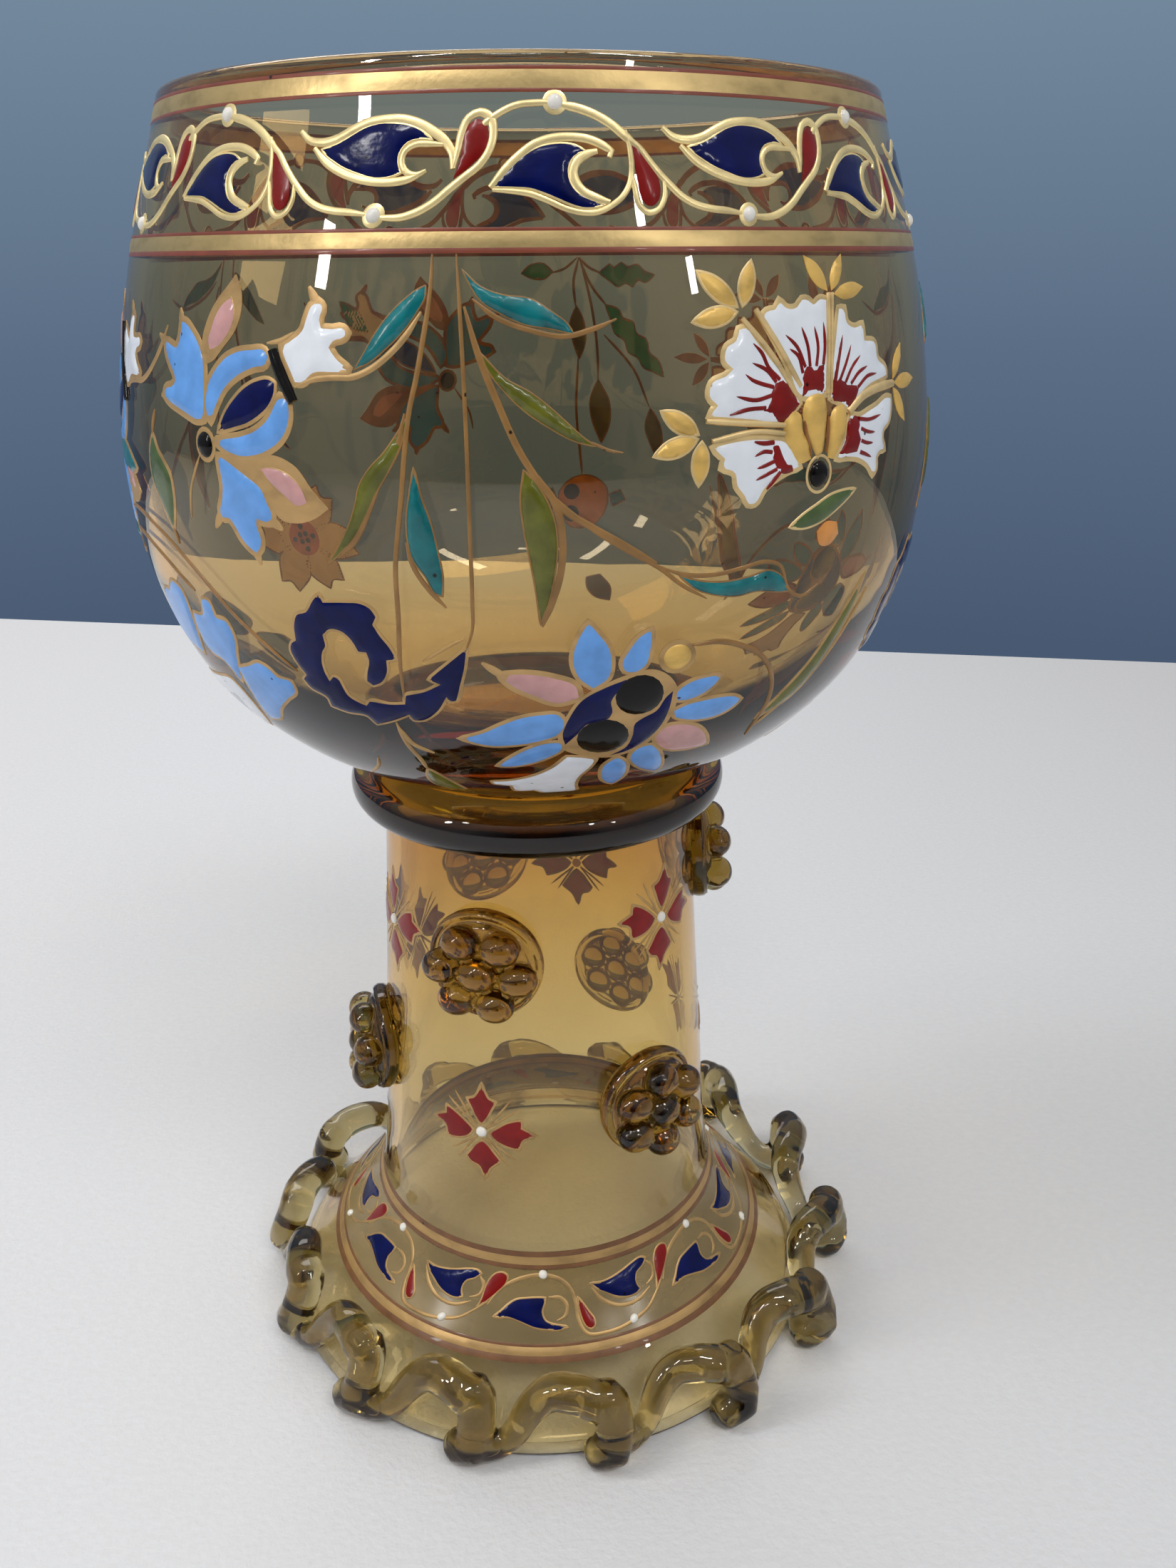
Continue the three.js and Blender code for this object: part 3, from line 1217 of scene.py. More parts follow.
@dataclass
class Band:
    """A band painted round the glass on the wheel.

    Attributes:
        name: The piece's name.
        low: Distance of its lower edge up the glass from the middle of the frieze.
        high: Distance of its upper edge.
        paint: What it is painted with.
        rise: How far it stands off the glass.
        sink: How far it sinks into it.
        step: Greatest width of a strip of it.
        turns: Steps of the spin.
    """

    name: str
    low: float
    high: float
    paint: Paint
    rise: float = 0.05
    sink: float = 0.05
    step: float = 0.5
    turns: int = 160

    def build(self, form: TurnedForm, middle: float) -> None:
        """Spin the band.

        Args:
            form: The glass that carries it.
            middle: Height of the middle of the frieze.
        """
        steps = max(2, ceil((self.high - self.low) / self.step))
        across = [self.low + (self.high - self.low) * step / steps for step in range(steps + 1)]
        top = [(spot, self.rise if 0 < index < steps else 0.01) for index, spot in enumerate(across)]
        under = [(spot, -self.sink) for spot in reversed(across)]
        piece = spun(self.name, [form.section(middle, spot, lift) for spot, lift in top + under], self.turns)
        finish_piece(piece, mixed(self.paint.value))


def rim_frieze(sheet: PaintSheet) -> None:
    """One wave of the rim's frieze: a gold scroll between two pearls with two navy leaves and two red drops.

    Args:
        sheet: The sheet to draw on, about the middle of the frieze.
    """
    gold = Paint.GILT
    scroll = (
        ([(-3.9, 1.6), (-3.1, 2.5), (-2.1, 3.2), (-0.6, 3.9), (1.2, 4.1), (2.6, 4.1)], 0.55),
        ([(2.6, 4.05), (4.8, 3.6), (6.2, 3.05), (7.3, 2.4), (8.3, 1.6), (9.4, 0.75)], 0.75),
        ([(8.6, 1.5), (9.5, 0.7), (10.4, -0.4), (11.3, -1.4), (12.3, -2.35), (13.3, -3.2), (14.5, -3.8),
          (16, -4.15), (17.6, -4.3), (19, -4.5)], 0.6),
        ([(20.2, -4.75), (22.2, -4.75), (23.6, -4.3), (24.8, -3.55), (25.8, -2.6), (26.8, -1.7), (27.9, -0.7),
          (28.5, 0.6), (28.5, 1.9), (28, 3), (27.1, 3.4), (26.3, 3), (25.95, 1.8), (25.9, 0.4),
          (25.8, -0.9)], 0.7),
        ([(8.4, 2), (8.75, 0.6), (8.9, -0.8), (8.7, -2.2), (8.1, -3.2), (7.2, -3.9), (6, -4.45), (4.7, -4.5),
          (3.4, -4.2), (1.9, -3.55), (0.4, -3), (-1, -2.8), (-2.6, -2.7)], 0.5),
        ([(8.8, -1.2), (9.15, -2.6), (9.5, -3.9), (10.3, -4.5), (11.2, -4.2), (11.75, -3.2),
          (11.7, -2)], 0.5),
        ([(-2.8, -2.5), (-1.7, -1.25), (-0.5, -0.1), (0.9, 0.9), (2.3, 1.35), (3.7, 1.45), (5.2, 1.3),
          (6.4, 0.85), (7.2, 0.35), (7, -0.15)], 0.7),
        ([(6, 0.35), (5, 0.05), (4.3, -0.5), (4, -1.3), (4.2, -2.1), (4.75, -2.8), (5.7, -3.3),
          (7, -3.7)], 0.75),
        ([(11.6, 2.3), (12.5, 1.6), (13.8, 1.35), (15.2, 1.6), (16.5, 2.25), (17.8, 2.8), (19.2, 3),
          (20.8, 3), (22.3, 2.6), (23.6, 1.95), (24.7, 1.2), (25.5, 0.2), (25.8, -1)], 0.75),
        ([(24.6, 0.9), (23.4, 1), (22.2, 0.95), (21.5, 0.5), (21.35, -0.25), (21.7, -1), (22.7, -1.45),
          (23.6, -1.1)], 0.55),
        ([(13.2, 0.9), (14.2, 0), (15.6, -0.85), (17.3, -1.5), (19.2, -1.9), (21, -1.95), (22.4, -1.7),
          (23.4, -1.2)], 0.7),
    )
    for line, width in scroll:
        sheet.stroke(gold, line, width, fine=(0.6, 0.6))
    sheet.fill(Paint.RED, [
        (8.5, 1.6), (9.2, 0.8), (10.1, -0.25), (10.75, -1.1), (11.2, -1.9), (11.35, -2.7), (11.2, -3.5),
        (10.6, -4), (10, -3.8), (9.6, -3), (9.4, -2), (9.15, -0.8), (8.95, 0.2),
    ])
    sheet.fill(Paint.RED, [
        (27, 2.9), (27.7, 2.6), (28.15, 1.8), (28.2, 0.85), (27.9, 0), (27.3, -0.7), (26.6, -1.35),
        (26, -1.8), (26.2, -0.7), (26.3, 0.2), (26.2, 1.3), (26.4, 2.4),
    ])
    sheet.petal(Paint.NAVY, [
        (-2.5, -2.45), (-1.65, -1.6), (-0.8, -0.75), (0.1, 0), (1.2, 0.6), (2.25, 0.85), (3.35, 0.9),
        (4.2, 0.75), (5, 0.35), (4.05, -0.1), (3.65, -0.7), (3.55, -1.35), (3.7, -2.1), (4.2, -2.85),
        (5.1, -3.4), (6.6, -3.9), (5.7, -4.1), (4.65, -4.1), (3.8, -3.85), (2.7, -3.4), (1.6, -2.95),
        (0.5, -2.6), (-0.8, -2.5),
    ], 0.15, gold)
    sheet.petal(Paint.NAVY, [
        (13.9, 0.8), (15.3, 1.15), (16.4, 1.7), (17.5, 2.3), (18.8, 2.65), (20.1, 2.65), (21.4, 2.45),
        (22.5, 2.05), (23.7, 1.25), (22.5, 1.4), (21.6, 1.15), (21.15, 0.6), (21, 0), (21.15, -0.65),
        (21.5, -1.25), (20.5, -1.55), (19.2, -1.6), (17.7, -1.2), (16.4, -0.75), (15.3, -0.2), (14.4, 0.35),
    ], 0.15, gold)
    for middle in ((2.6, 4.15), (19.75, -4.6)):
        sheet.dot(gold, middle, 1.0, 0.1)
        sheet.dot(Paint.PEARL, middle, 0.66, 0.5)


def foot_frieze(sheet: PaintSheet) -> None:
    """One wave of the foot's frieze, smaller than the rim's and simpler, in a softer gold.

    Args:
        sheet: The sheet to draw on, about the middle of the foot's band.
    """
    gold = Paint.DULL_GOLD
    sheet.petal(Paint.NAVY, [
        (-7.5, -1.5), (-6.5, -0.8), (-5.4, 0.2), (-4.35, 0.85), (-3, 1.1), (-1.7, 1.2), (-0.65, 1.2),
        (-0.8, 0.5), (-1.1, -0.5), (-0.65, -1.6), (0.4, -2.05), (1.7, -2.3), (2.2, -2.4), (1.1, -2.7),
        (-0.4, -2.6), (-2.2, -2.3), (-3.9, -1.7), (-5.65, -1.3), (-6.7, -1.45),
    ], 0.22, gold, 0.15)
    sheet.petal(Paint.NAVY, [
        (5.3, 2.4), (6.7, 2.25), (8.3, 2.5), (10, 3), (11.3, 3.45), (12.4, 3.65), (13.3, 3.35), (12.6, 2.6),
        (11.85, 2.2), (11.6, 1.2), (11.9, 0.4), (12.3, 0), (11.5, -0.3), (10.4, -0.3), (8.9, 0.1), (7.4, 0.9),
        (6.1, 1.65),
    ], 0.22, gold, 0.15)
    sheet.petal(Paint.RED, [
        (3.55, 1.05), (4.1, 0.3), (5, -1), (5.7, -2.05), (5.7, -2.7), (5.2, -3.05), (4.6, -2.6), (4.1, -1.6),
        (3.75, -0.3),
    ], 0.2, gold, 0.14)
    sheet.petal(Paint.RED, [
        (15.7, 3.95), (16.7, 3.6), (16.9, 2.8), (16.5, 1.7), (15.8, 0.6), (15.2, -0.3), (14.8, -0.9),
        (14.9, 0.3), (14.7, 1.6), (14.7, 2.9), (15.1, 3.7),
    ], 0.2, gold, 0.14)
    for line in (
        [(-8.3, -0.2), (-6.4, 2), (-3.8, 3.5), (-0.8, 4), (1.5, 3.3), (2.7, 2.1), (3.3, 0.4), (3.6, -1.6),
         (4.6, -3.4), (7.5, -3.8), (11, -3.3), (13.4, -2.4), (14.6, -1.2), (15.8, 0.2)],
        [(-0.2, 1.3), (1.4, 1.1), (2.2, 0.1), (1.9, -1.1), (0.8, -1.6)],
        [(13.3, 3), (14.3, 2), (14.3, 0.8), (13.2, 0.2)],
        [(5.4, 1.9), (6.8, 0.2), (9, -1), (12, -1.1), (13.7, -0.2)],
    ):
        sheet.stroke(gold, line, 0.5, 0.06)
    sheet.dot(Paint.PEARL, (-0.85, 4.05), 0.58, 0.42)
    sheet.dot(Paint.PEARL, (11.1, -3.15), 0.58, 0.42)


def stem_quatrefoil(sheet: PaintSheet) -> None:
    """A red flower of four three-pointed petals about a pearl, with gold stamens between them.

    Args:
        sheet: The sheet to draw on, about its pearl.
    """
    for tip in ((4.3, 4.5), (4, -3.9), (-3.9, -3.9), (-4.2, 4.6)):
        for lean in (-0.12, 0.12):
            end = (tip[0] * (1 - lean), tip[1] * (1 + lean))
            sheet.stroke(Paint.DULL_GOLD, [(tip[0] * 0.15, tip[1] * 0.15), end], 0.3, 0.06, fine=(0.9, 0.3))
    for petal in (
        [(0, 1.2), (-0.9, 2.6), (-1.4, 3.7), (-1.95, 4.5), (-1, 4.85), (-0.4, 5.7), (0.1, 7.1), (0.6, 5.7),
         (1.05, 5), (1.95, 4.8), (1.35, 3.6), (0.85, 2.5)],
        [(1.1, 0.1), (2.2, 1), (3.3, 1.8), (5.3, 2.5), (5.2, 1.3), (7.1, 0.3), (5.4, -0.4), (4.9, -1.8),
         (3.3, -1.4), (2, -0.8)],
        [(0.1, -1.1), (-0.9, -2.1), (-1.4, -2.9), (-2.1, -3.9), (-1.5, -4.6), (-0.5, -4.9), (0.4, -6.9),
         (1.1, -5.1), (2.5, -3.8), (1.5, -2.6), (0.9, -1.8)],
        [(-1.1, 0.2), (-2.1, 1), (-3.3, 1.8), (-5.1, 2.6), (-5.1, 1.4), (-7, 0.4), (-5.3, -0.2), (-4.9, -1.8),
         (-3.3, -1.5), (-1.9, -0.8)],
    ):
        sheet.petal(Paint.RED, petal, 0.28, Paint.DULL_GOLD, 0.14)
    sheet.dot(Paint.PEARL, (0, 0.1), 0.72, 0.45)


def bell_flower(sheet: PaintSheet) -> None:
    """A flower in side view: blue petals, and a blue and navy cup with a black bar and a white frilled mouth.

    Args:
        sheet: The sheet to draw on, about the front of the bowl.
    """
    gold = Paint.TRACING
    sheet.fill(gold, [
        (-30.4, 5.2), (-28.2, 4.9), (-25.5, 5.35), (-23.1, 5.3), (-21.3, 4.5), (-19.8, 2.7), (-18.2, 1.1),
        (-19.6, 0.2), (-21.6, -0.4), (-23.4, -0.2), (-24.6, 1.2), (-26, 3), (-28.4, 4.3),
    ], 0.03)
    sheet.fill(gold, [
        (-31.8, 12.7), (-31.9, 14.5), (-30.9, 16.6), (-29.4, 18.3), (-27.9, 19.5), (-26.9, 20.4), (-26.3, 19),
        (-26.4, 17.4), (-27.3, 15.7), (-29, 14.2), (-30.6, 13),
    ], 0.03)
    for tips in (
        [(-35, 16.2), (-35.1, 17.5)], [(-38, 14.3), (-39.4, 15.1)], [(-38.7, 9.9), (-39.5, 9.6)],
        [(-31, -0.3), (-32.1, -1.8)], [(-24.6, -0.4), (-23.3, -1.1)], [(-26.9, -3.5), (-26.5, -4.7)],
        [(-18.2, 18), (-18.9, 19.4)],
    ):
        sheet.stroke(gold, tips, 0.95, 0.05, fine=(1, 0.3))
    for line, width in (
        ([(-20.9, 11.2), (-18.9, 11.9), (-17.1, 12.1), (-15, 12.2), (-13.5, 12.8), (-12, 13.8), (-10.3, 15.4),
          (-8.8, 17.4)], 0.55),
        ([(-33.3, 4.8), (-34.7, 2.7), (-35.5, 1.2), (-35.8, -0.3), (-35.9, -1.3)], 0.3),
        ([(-23.6, 14.75), (-22, 15), (-20.6, 15.7)], 0.5),
    ):
        sheet.stroke(gold, line, width, 0.06)
    for paint, margin, outline in (
        (Paint.SKY, 0.55, [
            (-32.3, 8), (-32, 10), (-31.85, 11.8), (-31.9, 13.3), (-32.45, 14.5), (-33.35, 15.5),
            (-34.3, 16.2), (-34.95, 16.3), (-35.2, 15.4), (-35.6, 14.5), (-36.1, 14), (-37, 14.2),
            (-37.9, 14.5), (-38.1, 14.1), (-37.8, 13.1), (-37.3, 12.4), (-36.7, 11.6), (-36.6, 11.1),
            (-37, 10.7), (-38.6, 10.15), (-38.85, 9.7), (-37.9, 9.2), (-36.4, 8.75), (-34.9, 8.3),
            (-33.4, 7.9),
        ]),
        (Paint.PINK, 0.1, [
            (-30.8, 14), (-30.95, 14.8), (-30.5, 15.7), (-29.75, 16.9), (-28.85, 17.8), (-27.6, 18.5),
            (-27.3, 17.5), (-27.6, 16.3), (-28.5, 15.2), (-29.75, 14.3),
        ]),
        (Paint.SKY, 0.45, [
            (-31.6, 8.3), (-31.85, 9.4), (-31.6, 10.3), (-30.95, 11.5), (-30.05, 12.4), (-28.85, 13.3),
            (-27.35, 13.9), (-25.5, 14.15), (-23.9, 14.1), (-23.55, 13.6), (-23.9, 13), (-25.2, 12.7),
            (-26.7, 12.2), (-27.9, 11.6), (-29.15, 10.7), (-30.05, 9.65), (-30.9, 8.4), (-31.3, 7.8),
        ]),
        (Paint.NAVY, 0.3, [
            (-30.35, 7), (-29.15, 8.75), (-27.9, 9.95), (-26.4, 11), (-24.9, 11.6), (-23.6, 11.75),
            (-23, 11.45), (-23.1, 10.7), (-23.7, 9.7), (-24.9, 8.75), (-26.4, 8), (-28.2, 7.5),
        ]),
        (Paint.SKY, 0.45, [
            (-30.95, 6.2), (-29.15, 6.5), (-27.35, 6.8), (-25.5, 7.4), (-24, 8.45), (-23, 9.8), (-22.5, 10.4),
            (-21.8, 10.1), (-21.6, 9.05), (-21.9, 7.85), (-22.8, 6.65), (-24.3, 5.75), (-26.1, 5.2),
            (-27.9, 5.1), (-29.45, 5.45),
        ]),
        (Paint.WHITE, 0.45, [
            (-22, 14.5), (-21, 15), (-19.8, 15.8), (-19.2, 17), (-18.75, 17.8), (-18, 18.2), (-17.65, 17.8),
            (-18, 16.7), (-17.85, 16.05), (-16.8, 16), (-15.8, 16.05), (-15.4, 15.7), (-15.8, 15.3),
            (-16.8, 15), (-17.2, 14.5), (-16.65, 13.7), (-15.45, 12.8), (-15.6, 12.5), (-17.1, 12.5),
            (-18.9, 12.4), (-20.1, 11.6), (-20.8, 11.6), (-21.3, 12.7), (-21.8, 13.7),
        ]),
        (Paint.SKY, 0.5, [
            (-30.65, 4.9), (-29.6, 4.6), (-28.25, 3.95), (-26.75, 3.2), (-25.5, 2.45), (-24.9, 1.25),
            (-24.4, 0.05), (-24.6, -0.55), (-25.5, -0.55), (-26.3, -0.4), (-26.4, -1), (-26.05, -2.1),
            (-26.3, -3.1), (-26.9, -3.6), (-27.6, -3.2), (-28.55, -2.4), (-29.3, -1.3), (-29.9, -0.7),
            (-30.95, -0.6), (-31.1, -0.3), (-30.65, 0.95), (-30.35, 2.15), (-30.5, 3.65),
        ]),
        (Paint.PINK, 0.1, [
            (-25.3, 4.2), (-23.7, 4.25), (-22.2, 3.8), (-20.9, 2.7), (-20.4, 1.5), (-21.3, 1.15), (-22.8, 2),
            (-24.3, 3.1),
        ]),
    ):
        sheet.petal(paint, outline, margin)
    sheet.stroke(Paint.BLACK, [(-23.05, 14.2), (-22.3, 12.2), (-21.15, 9.95)], 1.2, 0.32, fine=(0.85, 0.85))
    sheet.dot(gold, (-32.3, 5.75), 1.45, 0.06, 1.1)
    sheet.dot(Paint.BLACK, (-32.3, 5.75), 1.08, 0.4, 1.1)


def carnation(sheet: PaintSheet) -> None:
    """A carnation in side view: five white petals rayed with red on a gold cup, with gold trefoils round it.

    Args:
        sheet: The sheet to draw on, about the front of the bowl.
    """
    petals = (
        ([(25.7, 3.6), (23.6, 6), (22.1, 6.25), (20.6, 6.4), (17.7, 6.25), (16.1, 5.96), (17.3, 4.95),
          (17, 4.2), (18.4, 3.6), (18.6, 2.6), (19.45, 1.6), (19.9, 0.87), (20.6, 0.87), (21.5, 2),
          (22.9, 2.9), (24.5, 3.45)],
         [(25.7, 3.5), (24.8, 3.9), (23.7, 4.8), (23.2, 5.8), (22.2, 6.25), (22, 5.2), (22.2, 4.2),
          (22.6, 3.6), (23.5, 3.2)],
         ([(22.4, 6), (21.2, 6), (20.3, 6.2)], [(22.2, 5.2), (21.3, 5.3), (20.3, 4.95)],
          [(22.5, 4.4), (21.5, 4.1), (20.6, 3.9)], [(22.8, 3.7), (21.5, 3.25), (20.5, 2.9)],
          [(23.2, 3.4), (22.4, 2.6), (21.8, 2)])),
        ([(25.4, 9.2), (22.9, 7.75), (20, 8.1), (17.4, 8.4), (15.7, 8.6), (16.5, 9.45), (15.7, 10.3),
          (15.95, 11.3), (17.4, 11.9), (18, 12.4), (17.2, 13.1), (17.4, 14.2), (18.3, 14.7), (18.6, 15.6),
          (19.3, 15.7), (20.3, 14.7), (21.8, 13.2), (23.5, 11.5)],
         [(25.4, 9.1), (23.5, 7.65), (21.6, 8.3), (20.6, 8.8), (21.5, 9.5), (21.8, 10.4), (22.2, 11.1),
          (22.9, 11.6), (23.6, 11.2)],
         ([(22.9, 11.3), (21.6, 12.4), (20.9, 13.6), (20, 14.4)], [(22.5, 11.1), (21.5, 12.1), (19.9, 12.8)],
          [(22.2, 10.7), (20.7, 11.1), (19.9, 11.4), (19.2, 11.9)],
          [(22, 10), (20.4, 9.7), (18.3, 10.1)], [(21.4, 9), (19.4, 8.95), (17.7, 8.6)])),
        ([(25.4, 9.9), (28.75, 9.75), (28.8, 14), (28.75, 17.8), (27.9, 17.9), (27, 17.45), (26.4, 17.8),
          (25.6, 17.9), (25, 17.3), (23.8, 17.2), (22.9, 17.9), (22.5, 17.2), (21.5, 17), (21, 16.6),
          (22.4, 14.7), (23.8, 12.65)],
         [(25.7, 9.7), (25.3, 11), (25.6, 12.2), (26.3, 12.6), (27.1, 12.2), (28, 12.7), (28.6, 12.6),
          (28.65, 9.7), (27.2, 9.9)],
         ([(25.6, 11.7), (25, 13.2), (24, 13.8)], [(25.9, 12.2), (24.9, 13.9), (23.5, 15)],
          [(26.5, 12.2), (26.2, 13.9), (25.4, 15.6)], [(27.3, 12.2), (27.5, 13.8), (27, 15.6)],
          [(28.2, 12.3), (28.4, 13.8), (28.2, 15.9)])),
        ([(29.4, 9.4), (29.8, 12.9), (30.2, 15.3), (30.5, 17), (31.4, 17), (31.7, 15.8), (32.8, 15.3),
          (34.3, 15.55), (34.6, 14.1), (36.6, 13.7), (37, 12.4), (38.7, 11.3), (38.9, 10.75), (37.5, 10.5),
          (35.7, 10.2), (34.3, 9.6), (33.1, 8.9), (32.2, 8.15), (30.8, 8.9)],
         [(29.45, 9.1), (29.5, 10.9), (30.6, 11.3), (31.6, 10.7), (32.6, 10.5), (34, 10.2), (33.1, 8.9),
          (32.2, 8.2), (31.1, 8.8)],
         ([(29.9, 10.7), (30.4, 12.8), (30.9, 14.7)], [(30.6, 10.9), (31.4, 12.2), (32.2, 13.8)],
          [(31.4, 10.6), (32.4, 11.9), (33.7, 12.8)], [(32.2, 10.4), (33.4, 11.3), (34.9, 11.8)],
          [(33.3, 10), (34.9, 10.9), (36.6, 11.05)])),
        ([(30.5, 3.9), (31.7, 5.6), (32.4, 7.6), (34, 7.4), (35.2, 7.7), (36.9, 8.1), (38.9, 8.7),
          (39.8, 8.6), (39.9, 7.7), (39.5, 6.5), (38.35, 5.8), (38.2, 5.1), (38.9, 3.9), (37.8, 3.9),
          (37.2, 3.35), (37.3, 2.3), (36.75, 1.75), (35.7, 2.8), (34.3, 3.5), (32.2, 3.9)],
         [(30.5, 3.9), (31.7, 5.5), (32.2, 7.3), (33.1, 7.55), (34.3, 7), (34, 6.1), (34.4, 5.2), (34, 4.4),
          (34.6, 3.8), (32.2, 3.9)],
         ([(33.6, 7.2), (35.3, 7), (37.5, 7.25)], [(34, 6.3), (35.2, 5.9), (36.5, 5.75)],
          [(34.1, 5.2), (35.1, 4.9), (36.2, 4.8)], [(34, 4.2), (35.2, 3.8), (36, 3.5)])),
    )
    for white, red, rays in petals:
        sheet.petal(Paint.WHITE, white, 0.42, Paint.SOFT_GOLD, 0.17)
        sheet.fill(Paint.RED, red, 0.24)
        for ray in rays:
            sheet.stroke(Paint.RED, ray, 0.48, 0.27, fine=(1, 0.35))
    for rib, width in (
        ([(23.6, 7.4), (20, 7.75), (15.4, 8.2)], 0.55), ([(23.6, 6.7), (20.6, 7.05), (16, 6.5)], 0.5),
        ([(25.4, 10.6), (22.9, 14), (20.3, 17.2)], 0.55), ([(24.9, 9.9), (21.8, 13.7), (18.9, 16.5)], 0.5),
        ([(28.95, 9.8), (29, 14), (28.95, 18.4)], 0.42), ([(29.35, 9.8), (29.4, 14), (29.45, 18.4)], 0.42),
        ([(32, 7.9), (34.3, 9.15), (36.9, 9.7), (40.2, 9.9)], 0.9),
    ):
        sheet.stroke(Paint.SOFT_GOLD, rib, width, 0.3, fine=(0.9, 0.8))
    for base, rimmed, tips in (
        ((15.1, 6.9), True, ((11.25, 9.2), (10.6, 5.5), (14.8, 2.8))),
        ((18.9, 17.1), True, ((14.5, 20.4), (14.1, 16.3), (19.9, 21.2))),
        ((29.3, 18.2), False, ((25.8, 21.6), (31, 21.7), (34.5, 18.8))),
        ((40.1, 9.9), False, ((42.4, 13.5), (46.2, 10), (43.6, 6.1))),
    ):
        for tip in tips:
            along = np.array(tip) - base
            side = np.array([-along[1], along[0]]) / np.hypot(*along)
            at = [np.array(base) + along * share for share in (0.1, 0.35, 0.68)]
            shape = [
                at[0], at[1] - side * 0.62, at[2] - side * 0.66, tip, at[2] + side * 0.66, at[1] + side * 0.62,
            ]
            outline = [tuple(spot) for spot in shape]
            if rimmed:
                sheet.petal(Paint.TREFOIL, outline, 0.2, Paint.SOFT_GOLD, 0.24, corner=80.0)
            else:
                sheet.fill(Paint.TREFOIL, outline, 0.24, corner=80.0)
    for lobe in (
        [(25.7, 3.9), (24.4, 5.1), (23.6, 6.5), (23.7, 8), (24.5, 8.6), (25.6, 8.1), (25.85, 6.8),
         (26.7, 5.4), (27, 4.2)],
        [(29.3, 4.1), (29.2, 5.4), (29.3, 7.1), (29.9, 8.4), (31.1, 8.7), (31.8, 7.7), (31.7, 6.25),
         (30.8, 4.8), (30.1, 3.9)],
        [(27.9, 4.1), (27, 5.4), (26.1, 7.1), (25.85, 8.6), (26.4, 9.6), (27.4, 9.95), (28.6, 9.45),
         (28.9, 8), (28.75, 6.25), (28.5, 4.8)],
    ):
        sheet.fill(Paint.TREFOIL, lobe, 0.36, 1.2)
    for groove in ([(27, 4.4), (26.4, 6), (26, 7.6)], [(28.9, 4.6), (29.1, 6.2), (29.1, 7.8)]):
        sheet.stroke(Paint.BOLE, groove, 0.25, 0.3)
    sheet.stroke(Paint.SOFT_GOLD, [(28.2 + 1.6 * cos(turn / 2), 2.75 + 1.65 * sin(turn / 2))
                                   for turn in range(13)], 0.28, 0.05, closed=True)
    sheet.dot(Paint.BLACK, (28.2, 2.75), 1.15, 0.42, 1.05)
    sheet.petal(Paint.LEAF_GREEN, [
        (24.8, -1.75), (26.4, -0.8), (28.2, -0.05), (29.9, 0.6), (32, 0.85), (33.85, 0.8), (32.2, -0.15),
        (30.5, -1), (28.75, -1.7), (26.4, -2),
    ], 0.2, Paint.SOFT_GOLD)
    sheet.fill(Paint.ORANGE, [(28.4, -2.6), (29.6, -1.8), (31.2, -2), (31.6, -3.2), (30.4, -4.1),
                              (28.9, -3.9)])


